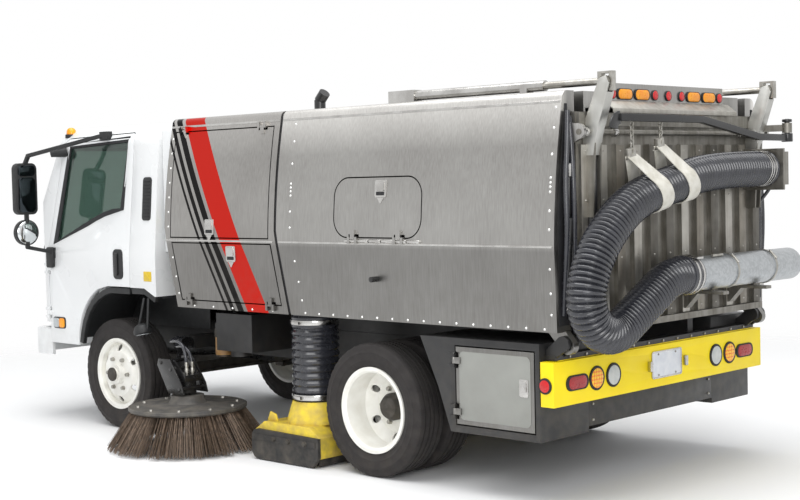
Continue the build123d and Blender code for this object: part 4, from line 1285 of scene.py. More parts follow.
@dataclass
class WanderHose:
    """Ribbed suction hose that hangs behind the rear door, with its cuffs, straps, chains and boom."""

    back: float = 4400.0
    radius: float = 99.0
    rib: float = 8.0
    pitch: float = 27.0
    line: tuple[tuple[float, float], ...] = (
        (-722, 1800), (-106, 1800), (314, 1717), (681, 1644), (982, 1421), (1103, 1193), (1082, 1053),
        (982, 953), (841, 932), (716, 998), (517, 1104), (319, 1210), (206, 1210))
    droop: float = 6280.0
    boom_pin: tuple[float, float] = (4460.0, -900.0)

    def hose(self) -> None:
        """Ribbed wall round a smooth line."""
        tree, entry = new_tree("ribbed_hose", ("Radius", "Rib", "Pitch"))
        short = put(tree, "Math", {0: entry["Pitch"], 1: 8.0}, operation="DIVIDE")
        even = put(tree, "ResampleCurve", {"Curve": entry["Geometry"], "Length": short}, mode="LENGTH")
        along = put(tree, "SplineParameter", out="Length")
        share = put(tree, "Math", {0: along, 1: entry["Pitch"]}, operation="DIVIDE")
        turn = put(tree, "Math", {0: share, 1: math.pi}, operation="MULTIPLY")
        half = put(tree, "Math", {0: turn}, operation="COSINE")
        crest = put(tree, "Math", {0: half}, operation="ABSOLUTE")
        wave = put(tree, "Math", {0: crest, 1: 2.0, 2: -1.0}, operation="MULTIPLY_ADD")
        swell = put(tree, "Math", {0: wave, 1: entry["Rib"], 2: entry["Radius"]}, operation="MULTIPLY_ADD")
        ring = put(tree, "CurvePrimitiveCircle", {"Resolution": 40, "Radius": 1.0})
        wall = put(tree, "CurveToMesh", {0: even, 1: ring, "Scale": swell, "Fill Caps": True})
        end_tree(tree, wall, HOSE_BLACK)
        sizes = {"Radius": self.radius * MM, "Rib": self.rib * MM, "Pitch": self.pitch * MM}
        mesh = grown(route([spot(self.back, y, z) for y, z in self.line]), tree, sizes)
        settle(mesh, "ribbed_hose", HOSE_BLACK, "hose_boom", sharp=80.0, replaces=["wander_hose"])

    def band(self, shape: Shape, y: float, z: float, width: float, inner: float, outer: float) -> None:
        """Add a clamp band round the hose where it runs level."""
        profile = [(inner, 0), (outer, 0), (outer, width), (inner, width)]
        shape.lathe(spot(self.back, y, z), Side.RIGHT.out, profile)

    def cuffs(self) -> None:
        """Cuff on the tube, clamp bands at both ends and the toggles that close them."""
        end_y, end_z = self.line[-1]
        cuff = Shape()
        self.band(cuff, end_y + 8, end_z, 100, 96, 112)
        cuff.piece("tube_cuff", HOSE_BLACK, "hose_boom", 4)
        bands = Shape()
        for y in (-700, -672, -648):
            self.band(bands, y + 14, self.line[0][1] - 0.3, 10, 104, 108)
        for y in (end_y - 18, end_y - 62):
            self.band(bands, y, end_z, 16, 111, 115)
        bands.box(
            spot(self.back + 60, end_y - 18, end_z + 92), spot(self.back + 100, end_y - 80, end_z + 104))
        bands.piece("hose_bands", TRIM_STEEL, "hose_boom", 1.5)
        tube = Shape()
        for y in (-240, -675):
            self.band(tube, y - 6, end_z, 18, 100, 104)
            tube.rod(spot(self.back + 50, y - 15, end_z + 96), spot(self.back + 98, y - 15, end_z + 50), 8)
        tube.rod(spot(self.back + 40, -60, end_z + 98), spot(self.back + 40, -170, end_z + 98), 9)
        tube.piece("tube_bands", ZINC, "hose_boom", 1.5)

    def hang(self, y: float) -> tuple[float, float]:
        """Middle line of the top run.

        Args:
            y: Place across the truck.

        Returns:
            Its height there and its fall in radians.
        """
        angle = math.asin((y - self.line[0][0]) / self.droop)
        return self.line[0][1] - self.droop * (1 - math.cos(angle)), angle

    def strap(self, name: str, y: float) -> tuple[float, float]:
        """Webbing loop that carries the hose.

        Args:
            name: Name of the piece.
            y: Place across the truck.

        Returns:
            Place across and height of the loop's top.
        """
        z, angle = self.hang(y)
        along = Vector((0, math.cos(angle), -math.sin(angle)))
        tall = Vector((0, math.sin(angle), math.cos(angle)))
        out = REARWARD
        middle = spot(self.back, y, z)
        reach = (self.radius + self.rib + 4) * MM
        top = middle + tall * 0.235 + along * 0.14
        ring = [
            middle + reach * (math.cos(t) * out + math.sin(t) * tall) + along * 0.03 * math.sin(t)
            for t in (math.radians(a) for a in range(52, -233, -12))]
        path = [top + out * 0.008] + ring + [top - out * 0.008]
        wide = 0.056
        rings = []
        count = len(path)
        for i, point in enumerate(path):
            way = (path[min(i + 1, count - 1)] - path[max(i - 1, 0)]).normalized()
            lift = along.cross(way).normalized() * 0.003
            slim = wide * (0.75 if i in (0, count - 1) else 1.0)
            rings.append(
                [point + along * slim + lift, point + along * slim - lift, point - along * slim - lift,
                point - along * slim + lift])
        Shape().skin(rings).piece(name, WEBBING, "hose_boom", 1.5, 50.0)
        plate = Shape().prism(
            [top + along * a + tall * b - out * 0.014
             for a, b in ((-0.034, -0.02), (0.034, -0.02), (0.03, 0.04), (-0.03, 0.04))],
            out * 0.028)
        plate.piece(name + "_buckle", ZINC, "hose_boom", 3)
        return top.y / MM, top.z / MM

    def chain(self, name: str, y: float, low: float, high: float) -> None:
        """Chain from a strap to the boom.

        Args:
            name: Name of the chain.
            y: Place across the truck.
            low: Height of the strap's top.
            high: Height of the boom's underside.
        """
        pitch = 27.0
        count = int((high - low) / pitch)
        places = []
        for i in range(count + 1):
            places.append(
                (spot(self.back + 8, y, low + 22 + i * (high - low - 30) / count),
                Vector((0, 0, math.pi / 2 * (i % 2)))))
        Links(name, ZINC, "hose_boom", {"Length": 0.036, "Width": 0.021, "Wire": 0.0038}).build(places, 60.0)

    def boom(self) -> None:
        """Square boom with its pivot and hook end."""
        x, y = self.boom_pin
        shape = Shape()
        # ends of the boom's runs: behind, across, up
        runs = ((x, y, 1985), (x - 30, -610, 1990), (x - 45, 0, 2087), (x - 45, 800, 2087))
        section = [(0.02, 0.02), (-0.02, 0.02), (-0.02, -0.02), (0.02, -0.02)]
        shape.sweep([spot(*point) for point in runs], section, UP)
        shape.rod(spot(x, y, 1965), spot(x, y, 2100), 16)
        shape.rod(spot(x, y, 1960), spot(x, y, 2012), 34, steps=28)
        shape.rod(spot(x, y, 2080), spot(x, y, 2098), 30, steps=28)
        hook = [
            spot(x - 45, 790 + 60 * math.sin(t), 2027 + 60 * math.cos(t))
            for t in (math.radians(a) for a in range(0, 91, 15))]
        flat = [(0.036, 0.006), (-0.036, 0.006), (-0.036, -0.006), (0.036, -0.006)]
        shape.sweep(hook, flat, Vector((1, 0, 0.01)))
        shape.piece("boom", GLOSS_BLACK, "hose_boom", 4, replaces=["hose_boom"])

    def build(self) -> None:
        """Build the hose and what holds it."""
        dress(GALVANISED, "nozzle_tube")
        self.hose()
        self.cuffs()
        self.boom()
        for index, y in enumerate((225.0, 490.0)):
            across, top = self.strap("hose_strap_%d" % index, y)
            self.chain("hose_chain_%d" % index, across, top, 2066.0)


@dataclass
class RearEnd:
    """Rear door, lamp bar, bumper, lamps and number plate."""

    door_face: float = 4226.0
    door_half: float = 931.0
    bumper_back: float = 4161.0
    bumper_half: float = 1073.0
    hinge: tuple[float, float] = (4269.0, 2015.0)
    arm_at: float = 837.0
    strips: int = 12

    def door(self) -> None:
        """Cover strips of three tones with their rivets, hinge collars, and seal and lock at each side."""
        dress(DOOR_STEEL, "rear_door")
        tones = {DOOR_PALE: Shape(), DOOR_DARK: Shape(), DOOR_MID: Shape()}
        order = (
            DOOR_DARK, DOOR_MID, DOOR_PALE, DOOR_DARK, DOOR_MID, DOOR_PALE, DOOR_DARK, DOOR_DARK, DOOR_PALE,
            DOOR_MID, DOOR_PALE, DOOR_PALE)
        rivets = []
        face = self.door_face + 24
        for i in range(self.strips):
            y = -self.door_half + 51 + i * (2 * self.door_half - 102) / (self.strips - 1)
            strip = [(y - 37, 978), (y + 37, 978), (y + 37, 1947), (y - 37, 1947)]
            tones[order[i]].on_back(strip, face, face + 2)
            rivets += [(spot(face + 2, y, z), REARWARD) for z in (1010, 1330, 1650, 1915)]
        for finish, shape in tones.items():
            shape.piece("door_strips_" + finish.slot + "_" + finish.name, finish, "rear_door", 0.8)
        heads("door_rivets", ZINC, "rear_door", 6, 4, rivets)
        x, z = self.hinge
        collars = Shape()
        for y in (-905, -780, -640, 640, 780, 905):
            collars.rod(spot(x, y - 16, z), spot(x, y + 16, z), 26)
        collars.piece("hinge_collars", TRIM_STEEL, "rear_door", 3)
        for side in Side:
            s = side.sign
            edge = [(s * 944, 985), (s * 1046, 985), (s * 1040, 1600), (s * 965, 2170), (s * 944, 2170)]
            seal = Shape().on_back(edge, HOPPER_BACK, HOPPER_BACK + 3)
            seal.piece("hopper_edge_" + side.word, SEAL_BLACK, "hopper", 1)
            x = HOPPER_BACK + 24
            lock = Shape().rod(spot(x, s * 985, 1100), spot(x, s * 975, 1560), 26)
            lock.rod(spot(x, s * 975, 1555), spot(x, s * 968, 1800), 13)
            lock.piece("lock_cylinder_" + side.word, GLOSS_BLACK, "hopper", 3)
            clevis = Shape().box(spot(x - 26, s * 945, 1780), spot(x + 22, s * 992, 1850))
            clevis.box(spot(x - 26, s * 960, 1060), spot(x + 22, s * 1010, 1110))
            clevis.piece("lock_brackets_" + side.word, TRIM_STEEL, "hopper", 4)

    def arms(self) -> None:
        """Pale plates and closed backs of the lift arms, and the black barrel under the left one."""
        face = self.door_face
        side_plate = (
            (face + 2, 1890), (face + 66, 1890), (self.hinge[0] + 43, 2000), (4404, 2267), (4385, 2310),
            (4339, 2296), (face + 1, 2038))
        back_plate = ((face + 64, 1890), (self.hinge[0] + 41, 2000), (4386, 2222))
        for side in Side:
            s = side.sign
            plates = Shape()
            for y in (self.arm_at - 33.5, self.arm_at + 22.5):
                plates.prism([spot(x, s * y, z) for x, z in side_plate], Vector((0, s * 0.011, 0)))
            plates.skin([
                [spot(x + lift, s * (self.arm_at + y), z)
                 for lift, y in ((0, -33), (6, -33), (6, 33), (0, 33))]
                for x, z in back_plate])
            plates.piece("arm_plates_" + side.word, ARM_PALE, "rear_door", 2)
            bolts = [
                (spot(face + 68, s * (self.arm_at + y), z), REARWARD) for y in (-22, 22)
                for z in (1910, 1985)]
            heads("arm_bolts_" + side.word, ZINC, "rear_door", 7, 5, bolts, 0.7, 6)
        barrel = Shape().rod(
            spot(face + 32, self.arm_at, 1512), spot(face + 32, self.arm_at, 1888), 31, steps=32)
        barrel.piece("arm_barrel", GLOSS_BLACK, "rear_door", 4)

    def pipes(self) -> None:
        """Black hoses down both rear corners and the small loop beside the inlet flange."""
        # stations of two hoses from the top: behind the corner, across, up
        runs = (
            ((20, 965, 2130), (34, 990, 1950), (30, 1008, 1750), (42, 1012, 1500), (28, 1015, 1250),
             (8, 1012, 1040)),
            ((22, 952, 2100), (40, 958, 1900), (52, 962, 1650), (44, 954, 1400), (40, 956, 1200),
             (8, 965, 1030)))
        for side in Side:
            for i, run in enumerate(runs):
                points = [spot(HOPPER_BACK + x, side.sign * y, z) for x, y, z in run]
                cord("corner_hose_%d_%s" % (i, side.word), points, 15, "hopper")
        loop = (
            (4420, -836, 1800), (4420, -882, 1806), (4410, -930, 1856), (4380, -952, 1800),
            (4340, -944, 1720), (4296, -915, 1630), (4226, -900, 1560))
        cord("inlet_hose", [spot(*point) for point in loop], 11, "rear_door")

    def lamp(
            self, outline: Pairs, low: float, finish: Finish, name: str, body: str, depth: float = 12.0,
            replaces: Sequence[str] = (), rim: float = 0.88) -> None:
        """Lens in a rubber grommet.

        Args:
            outline: (across, up) points of the grommet's edge.
            low: Where the mounting face is behind the front axle.
            finish: Finish of the lens.
            name: Name of the lens.
            body: Body that carries both.
            depth: How far the lens stands out.
            replaces: Solids that the lens stands for.
            rim: Share of the outline inside the grommet.
        """
        mid = Vector((sum(y for y, _ in outline) / len(outline), sum(z for _, z in outline) / len(outline)))

        def drawn(share: float) -> list[tuple[float, float]]:
            """Outline drawn towards its middle."""
            return [tuple(mid + (Vector(point) - mid) * share) for point in outline]

        grommet = Shape()
        rings = [(low, 1.0), (low + 7, 1.0), (low + 9, 0.97), (low + 9, rim), (low, rim)]
        grommet.skin([[spot(x, y, z) for y, z in drawn(share)] for x, share in rings], round_path=True)
        grommet.piece(name + "_grommet", SEAL_BLACK, body)
        lens = Shape()
        edge = rim - 0.01
        rings = [(low, edge), (low + depth - 3, edge), (low + depth - 1, edge - 0.07), (low + depth, 0.4)]
        lens.skin([[spot(x, y, z) for y, z in drawn(share)] for x, share in rings])
        lens.piece(name, finish, body, sharp=50.0, replaces=list(replaces))

    def ring(self, y: float, z: float, radius: float) -> list[tuple[float, float]]:
        """Round outline."""
        turns = [2 * math.pi * i / 28 for i in range(28)]
        return [(y + radius * math.cos(t), z + radius * math.sin(t)) for t in turns]

    def light_bar(self) -> None:
        """Amber and red lamps on the bar over the door, and the ledge under it."""
        low = HOPPER_BACK + 14
        for i, y in enumerate((-433, -265, 265, 433)):
            self.lamp(
                oblong((y - 76, 2200), (y + 76, 2262), 30), low, AMBER, "bar_amber_%d" % i, "hopper",
                replaces=[] if i else ["light_bar_lamps"])
        for i, y in enumerate((-550, -137, 0, 137, 550)):
            self.lamp(self.ring(y, 2231, 30), low, RED, "bar_red_%d" % i, "hopper")
        section = (
            (4197, 2192), (4203, 2194), (4268, 2146), (4268, 2122), (4263, 2122), (4263, 2143), (4197, 2184))
        ledge = Shape().prism([spot(x, -640, z) for x, z in section], Vector((0, 1.28, 0)))
        ledge.piece("bar_ledge", DOOR_PALE, "hopper", 1)

    def bumper(self) -> None:
        """Bumper with softened edges, its lamps, the bare plate and the plate lamps."""
        softened("rear_bumper", BUMPER_YELLOW, 10, "chassis")
        low = self.bumper_back
        for side in Side:
            s = side.sign
            ends = sorted((s * 770, s * 968))
            # name, outline, finish
            for name, outline, finish in (
                    ("stop_lamp_", oblong((ends[0], 623), (ends[1], 707), 40), STOP_RED),
                    ("turn_lamp_", self.ring(s * 692, 668, 68), TURN_AMBER),
                    ("reverse_lamp_", self.ring(s * 535, 668, 68), CLEAR)):
                self.lamp(outline, low, finish, name + side.word, "chassis", rim=0.82)
            marker = [(0, -2), (38, -2), (38, 6), (30, 11), (0, 12)]
            edge = [(30, -1), (44, -1), (44, 6), (40, 9), (30, 9)]
            where = spot(4104, s * self.bumper_half, 662)
            Shape().lathe(where, side.out, edge).piece("end_grommet_" + side.word, SEAL_BLACK, "chassis")
            lens = Shape().lathe(where, side.out, marker)
            lens.piece("end_marker_" + side.word, RED, "chassis", replaces=["rear_lamps"] if s > 0 else [])
            lamp = Shape().box(spot(low, s * 172, 645), spot(low + 26, s * 196, 705))
            lamp.piece("plate_lamp_" + side.word, TRIM_STEEL, "chassis", 5)
        plate = Shape().on_back(oblong((-152, 600), (152, 752), 14), low + 1, low + 4)
        plate.piece("bare_plate", PLATE_WHITE, "chassis", 1)
        inner = oblong((-146, 606), (146, 746), 10)
        outer = oblong((-156, 596), (156, 756), 16)
        rings = [(low + 0.5, outer), (low + 6, outer), (low + 6, inner), (low + 0.5, inner)]
        rim = Shape().skin([[spot(x, y, z) for y, z in points] for x, points in rings], round_path=True)
        rim.piece("plate_rim", TRIM_STEEL, "chassis", 1)
        bolts = [(spot(low + 4, y, z), REARWARD) for y in (-89, 89) for z in (615.5, 736.5)]
        heads("plate_bolts", ZINC, "chassis", 7, 5, bolts, 0.7)
        bolts = [(spot(4138, y, 808), REARWARD) for y in range(-900, 901, 150)]
        heads("rail_bolts", ZINC, "chassis", 9, 6, bolts, 0.8, 6)

    def build(self) -> None:
        """Build the rear of the truck."""
        self.door()
        self.arms()
        self.pipes()
        self.light_bar()
        self.bumper()


@dataclass
class BodyTrim:
    """Rivets, latches, seam trim and fittings on the stainless body."""

    hopper_front: float = 1965.0
    hopper_toe: float = 2085.0
    rivet_step: int = 126

    def front_edge(self, up: float) -> float:
        """Front edge of the hopper, upright above and slanting back below.

        Args:
            up: Height.

        Returns:
            Where the edge is behind the front axle.
        """
        if up >= 1480:
            return self.hopper_front
        return self.hopper_front + (self.hopper_toe - self.hopper_front) * (1480 - up) / 580

    def rivets(self) -> None:
        """Rows of rivets along the bottom, the front edge and the rear edge."""
        for side in Side:
            s = side.sign
            hopper = []
            enclosure = []

            def at(x: float, z: float) -> tuple[Vector, Vector]:
                """Place of a rivet on the side wall."""
                return spot(x, s * (side_half(z) - 0.5), z), Vector((0, s, 0.03))

            for x in range(2208, 4130, self.rivet_step):
                hopper.append(at(x, 966))
            for z in (1045, 1160, 1290, 1500, 1600, 1700, 1727, 1750, 1775, 1900, 2040, 2150):
                hopper.append(at(self.front_edge(z) + 128, z))
                hopper.append(at(HOPPER_BACK - 34, z))
            for z in (1045, 1160, 1290, 1500, 1600, 1700, 1800, 1900, 2000, 2100):
                enclosure.append(at(846 + max(0.0, (1500 - z) * 0.2), z))
            for x in (1100, 1300, 1500, 1700, 1900):
                enclosure.append(at(x, 966))
            heads("hopper_rivets_" + side.word, RIVET, "hopper", 8.5, 4.5, hopper)
            heads("enclosure_rivets_" + side.word, RIVET, "chassis", 8.5, 4.5, enclosure)

    def latch(self, name: str, x: float, z: float, side: Side, body: str) -> None:
        """Paddle latch: a bright plate with a recessed paddle and its keeper.

        Args:
            name: Name of the latch.
            x: Where it is behind the front axle.
            z: Height of its middle.
            side: Side of the truck.
            body: Body that carries it.
        """
        s = side.sign
        plate = Shape().on_side(oblong((x - 48, z - 52), (x + 48, z + 52), 12), side_half, s, -2, 6)
        plate.on_side(oblong((x - 34, z - 14), (x + 34, z + 44), 8), side_half, s, 4, 13)
        plate.on_side([(x - 30, z - 52), (x + 30, z - 52), (x, z - 92)], side_half, s, -2, 5)
        plate.piece(name, TRIM_STEEL, body, 3)
        dark = Shape().on_side(oblong((x - 34, z - 40), (x + 34, z - 18), 5), side_half, s, 4, 7.5)
        dark.piece(name + "_pull", SEAL_BLACK, body, 1)

    def lines(self) -> None:
        """Bright strips along seams and roof edges, and each inspection door's hinge and peg."""
        low, high = SEAM_Z - 7, SEAM_Z + 5
        # name, ends behind the front axle, edges, how far the face stands out, rounding, body
        strips = (
            ("enclosure_seam", 822, 1932, low, high, 4, 1, "chassis"),
            ("hopper_seam", 1984, 4170, low, high, 4, 1, "hopper"),
            ("enclosure_rail", 818, 1938, 2174, 2188, 3, 1.5, "chassis"),
            ("hopper_rail", 1970, 4176, 2174, 2188, 3, 1.5, "hopper"))
        for side in Side:
            s = side.sign
            for name, ahead, back, foot, top, lift, bevel, body in strips:
                outline = [(ahead, foot), (back, foot), (back, top), (ahead, top)]
                strip = Shape().on_side(outline, side_half, s, -3, lift)
                strip.piece("%s_%s" % (name, side.word), TRIM_STEEL, body, bevel)
            hinge = Shape()
            y = s * (side_half(1440) + 4)
            for x in range(2600, 3121, 104):
                hinge.rod(spot(x, y, 1424), spot(x + 96, y, 1424), 11, steps=12)
            hinge.piece("panel_hinge_" + side.word, TRIM_STEEL, "hopper", 1.5)
            wall = side_half(1200)
            peg = Shape().rod(spot(2860, s * (wall - 3), 1200), spot(2860, s * (wall + 62), 1200), 17)
            peg.piece("side_peg_" + side.word, GLOSS_BLACK, "hopper", 3)

    def build(self) -> None:
        """Dress the body and build its trim."""
        for side in Side:
            end = "_" + side.word
            dress(BANDED_STEEL, "enclosure_upper_door" + end, "enclosure_lower_door" + end)
            dress(SIDE_STEEL, "inspection_door" + end)
            self.latch("upper_latch" + end, 1295, 1500, side, "enclosure_upper_door" + end)
            self.latch("lower_latch" + end, 1512, 1325, side, "enclosure_lower_door" + end)
            self.latch("panel_latch" + end, 2890, 1735, side, "inspection_door" + end)
        dress(BANDED_STEEL, "enclosure_shell")
        dress(SIDE_STEEL, "hopper_shell")
        self.rivets()
        self.lines()


@dataclass
class Toolboxes:
    """Rear boxes with panel doors, and the straight skirt between them."""

    front: float = 3468.0
    back: float = 4028.0
    rear: float = 4066.0
    face: float = 1074.0

    def wall(self, up: float) -> float:
        """Half width over the doors, the same at every height."""
        return self.face

    def build(self) -> None:
        """Build boxes, skirt, panels, latches and bolts."""
        softened("toolboxes_and_skirt", FRAME_BLACK, 4, "chassis", "box_bodies", self.rear + 30)
        skirt = Shape().box(spot(self.rear, -641, 382), spot(self.rear - 12, 641, 560))
        skirt.piece("rear_skirt", FRAME_BLACK, "chassis", 3)
        for side in Side:
            s = side.sign
            body = "toolbox_door_" + side.word
            softened(body, SIDE_STEEL, 6, body)
            panel = Shape().on_side(
                oblong((self.front + 26, 424), (self.back - 22, 812), 34), self.wall, s, -1, 4)
            panel.piece("toolbox_panel_" + side.word, PANEL_GREY, body, 2)
            catch = Shape().on_side(oblong((3930, 590), (3995, 690), 14), self.wall, s, 2, 9)
            catch.on_side(oblong((3942, 620), (3983, 680), 8), self.wall, s, 8, 15)
            catch.piece("toolbox_latch_" + side.word, TRIM_STEEL, body, 3)
        places = [(spot(self.rear, y, z), REARWARD) for y in (-600, 600) for z in (415, 505)]
        heads("skirt_bolts", ZINC, "chassis", 9, 6, places, 0.8, 6)


@dataclass
class PickupHead:
    """Sweeping head under the body: hood, rubber sides, suction hoses and their clamps."""

    front: float = 1720.1
    back: float = 2330.0
    half: float = 1085.0
    duct: tuple[float, float] = (2085.0, 870.0)

    def build(self) -> None:
        """Dress the head and add its clamps and bolts."""
        softened("pickup_head", HEAD_YELLOW, 5, "chassis")
        dress(FLAP_BLACK, "head_skids")
        x, y = self.duct
        for side in Side:
            s = side.sign
            bands = Shape()
            for low, height in ((402, 34), (880, 30)):
                profile = [(155.5, low), (159.5, low), (159.5, low + height), (155.5, low + height)]
                bands.lathe(spot(x, s * y, 0), UP, profile)
                bands.box(spot(x - 30, s * (y + 150), low + 6), spot(x + 34, s * (y + 176), low + height - 6))
            bands.piece("duct_bands_" + side.word, TRIM_STEEL, "chassis", 1.5)
            places = [(spot(at, s * (self.half + 30), 150), side.out) for at in (1933, 2074, 2226)]
            heads("flap_bolts_" + side.word, CAST_GREY, "chassis", 19, 16, places, 0.8, 6)
            strip = Shape().box(
                spot(self.front + 10, s * (self.half + 25), 130),
                spot(self.back - 14, s * (self.half + 30), 168))
            strip.piece("flap_strip_" + side.word, FLAP_BLACK, "chassis", 2)
            lug = [
                spot(self.front + 120 + a, s * 1040, 250 + b)
                for a, b in ((-50, 0), (50, 0), (34, 46), (-20, 60))]
            eye = Shape().prism(lug, Vector((0, -s * 0.012, 0)))
            eye.piece("head_lift_eye_" + side.word, HEAD_YELLOW, "chassis", 3)


@dataclass
class Underbody:
    """What shows between the wheels: filter, tanks and their bright straps."""

    filter_at: float = 0.397 * WHEELBASE
    dome_at: float = 0.448 * WHEELBASE
    straps_at: tuple[float, float] = (0.43 * WHEELBASE, 0.56 * WHEELBASE)

    def build(self) -> None:
        """Build the filter, the pump's dome and the tank straps."""
        x = self.filter_at
        bowl = [(0, 597), (45, 597), (57.5, 612), (57.5, 735), (0, 735)]
        Shape().lathe(spot(x, 820, 0), UP, bowl).piece("oil_filter", FILTER_TAN, "chassis", 3)
        head = [(0, 733), (62, 733), (62, 790), (0, 790)]
        Shape().lathe(spot(x, 820, 0), UP, head).piece("filter_head", CAST_GREY, "chassis", 4)
        dome = [(0, 603), (30, 604), (58, 612), (72, 628), (76.5, 650), (0, 650)]
        Shape().lathe(spot(self.dome_at, 780, 0), UP, dome).piece("pump_dome", GLOSS_BLACK, "chassis")
        straps = Shape()
        for back in self.straps_at:
            straps.box(spot(back - 20, -932, 648), spot(back + 20, -930, 902))
            straps.box(spot(back - 20, -932, 900), spot(back + 20, -440, 903))
        straps.piece("tank_straps", ZINC, "chassis", 0.8)


@dataclass
class Cab:
    """Cab shell with its glass seals, doors, mirrors, lamps and grille."""

    half: float = 1000.0
    belt: float = 1300.0
    eaves: tuple[float, float] = (940.0, 2060.0)
    rake: tuple[tuple[float, float], tuple[float, float]] = ((-1060.0, 1260.0), (-630.0, 2175.0))
    window: tuple[tuple[float, float], ...] = (
        (178, 1620), (228, 2125), (-520, 2095), (-668, 1368), (-250, 1512), (-150, 1549), (-40, 1583),
        (70, 1606))
    hollow: tuple[tuple[float, float], ...] = (
        (-426, 650), (-381, 739), (-354, 807), (-317, 869), (-269, 925), (-213, 972), (-150, 1009),
        (-82, 1035), (-11, 1049), (446, 1050), (586, 987))

    def side(self, up: float) -> float:
        """Half width of the cab.

        Args:
            up: Height in millimetres.

        Returns:
            Half width: upright below the belt, leaning in above it and again at the roof edge.
        """
        narrow, top = self.eaves
        if up <= self.belt:
            return self.half
        if up <= top:
            return self.half - (self.half - narrow) * (up - self.belt) / (top - self.belt)
        return narrow - 0.23 * (up - top)

    def nose(self, across: float, up: float) -> float:
        """Front of the cab.

        Args:
            across: Place across the truck.
            up: Height.

        Returns:
            Where it is behind the front axle.
        """
        y = abs(across)
        if y <= 660:
            plan = -1045 + 35 * (y / 660) ** 2
        else:
            plan = -780 - 230 * max(0.0, 1 - ((y - 660) / 340) ** 2.4) ** (1 / 2.4)
        (x0, z0), (x1, z1) = self.rake
        return max(plan, x0 + (x1 - x0) * max(0.0, up - z0) / (z1 - z0))

    def shell(self) -> None:
        """Pressed shell and doors with softened edges."""
        softened("cab_shell", CAB_WHITE, 14, "cab")
        softened("front_bumper", CAB_WHITE, 12, "chassis")
        softened("front_shroud", CAB_WHITE, 10, "chassis")
        for side in Side:
            door = "cab_door_" + side.word
            softened(door, CAB_WHITE, 5, door)
        dress(GLASS, "cab_glass", "door_glass_left", "door_glass_right")

    def seals(self) -> None:
        """Black seals round the side windows and the windscreen."""
        flat = [(0.017, 0.0), (0.017, 0.007), (-0.017, 0.007), (-0.017, 0.0)]
        for side in Side:
            s = side.sign
            path = [spot(x, s * (self.side(z) - 3), z) for x, z in self.window]
            seal = Shape().sweep(path, flat, side.out, True)
            seal.piece("window_seal_" + side.word, SEAL_BLACK, "cab_door_" + side.word, 2)
        outline = [(-880 + 110 * i, 1310) for i in range(17)] + [(800 - 100 * i, 2085) for i in range(17)]
        path = [spot(self.nose(y, z) + 4, y, z) for y, z in outline]
        seal = Shape().sweep(path, [(a * 1.3, b) for a, b in flat], Vector((1, 0, 0.4)), True)
        seal.piece("screen_seal", SEAL_BLACK, "cab", 2)
        wipers = Shape()
        for y in (-420, 330):
            low = spot(self.nose(y, 1300) - 22, y, 1296)
            high = spot(self.nose(y - 250, 1400) - 26, y - 250, 1400)
            wipers.rod(low, high, 8, 6, 10)
            blade = [
                spot(self.nose(y - 560 + 70 * i, 1350 + 9 * i) - 12, y - 560 + 70 * i, 1350 + 9 * i)
                for i in range(9)]
            wipers.sweep(
                blade, [(0.007, 0.004), (-0.007, 0.004), (-0.007, -0.01), (0.007, -0.01)],
                Vector((1, 0, 0.4)))
        wipers.piece("wipers", TRIM_BLACK, "cab", 1)

    def front(self) -> None:
        """Dark bars in the grille slots, headlamps and roof lamps."""
        bars = Shape()
        for z in range(880, 1081, 50):
            rows = [(-428 + 107 * i) for i in range(9)]
            bars.skin([
                [spot(self.nose(y, z) + depth, y, up) for y in rows]
                + [spot(self.nose(y, z) + depth + 3, y, up) for y in reversed(rows)]
                for depth, up in ((7, z + 3), (7, z + 25))])
        bars.piece("grille_bars", TRIM_BLACK, "cab", 1)
        for side in Side:
            s = side.sign
            # name, span across from the middle, finish, offset of the face
            for name, span, finish, lift in (
                    ("headlamp", (630, 800), CLEAR, 10), ("corner_lamp", (806, 872), AMBER, 9)):
                lens = Shape()
                across = [span[0] + (span[1] - span[0]) * i / 8 for i in range(9)]
                rings = []
                for off in (-2, lift):
                    rings.append(
                        [spot(self.nose(y, 890) - off, s * y, 812) for y in across] +
                        [spot(self.nose(y, 890) - off, s * y, 965) for y in reversed(across)])
                lens.skin(rings)
                keep = ["cab_lamps"] if s > 0 and name == "headlamp" else []
                lens.piece("%s_%s" % (name, side.word), finish, "cab", 6, replaces=keep)
        dome = [(0, 56), (14, 54), (26, 47), (34, 34), (37, 12), (37, 0), (0, 0)]
        base = [(0, 4), (43, 4), (46, 0), (46, -22), (0, -22)]
        for side in Side:
            where = spot(-590, side.sign * 875, 2186)
            Shape().lathe(where, UP, dome, 28).piece("roof_lamp_" + side.word, AMBER, "cab")
            Shape().lathe(where, UP, base, 28).piece("roof_lamp_base_" + side.word, SEAL_BLACK, "cab")

    def doors(self) -> None:
        """Handles, vents, reflectors, side lamps, mirror brackets and the lips over the wheels."""
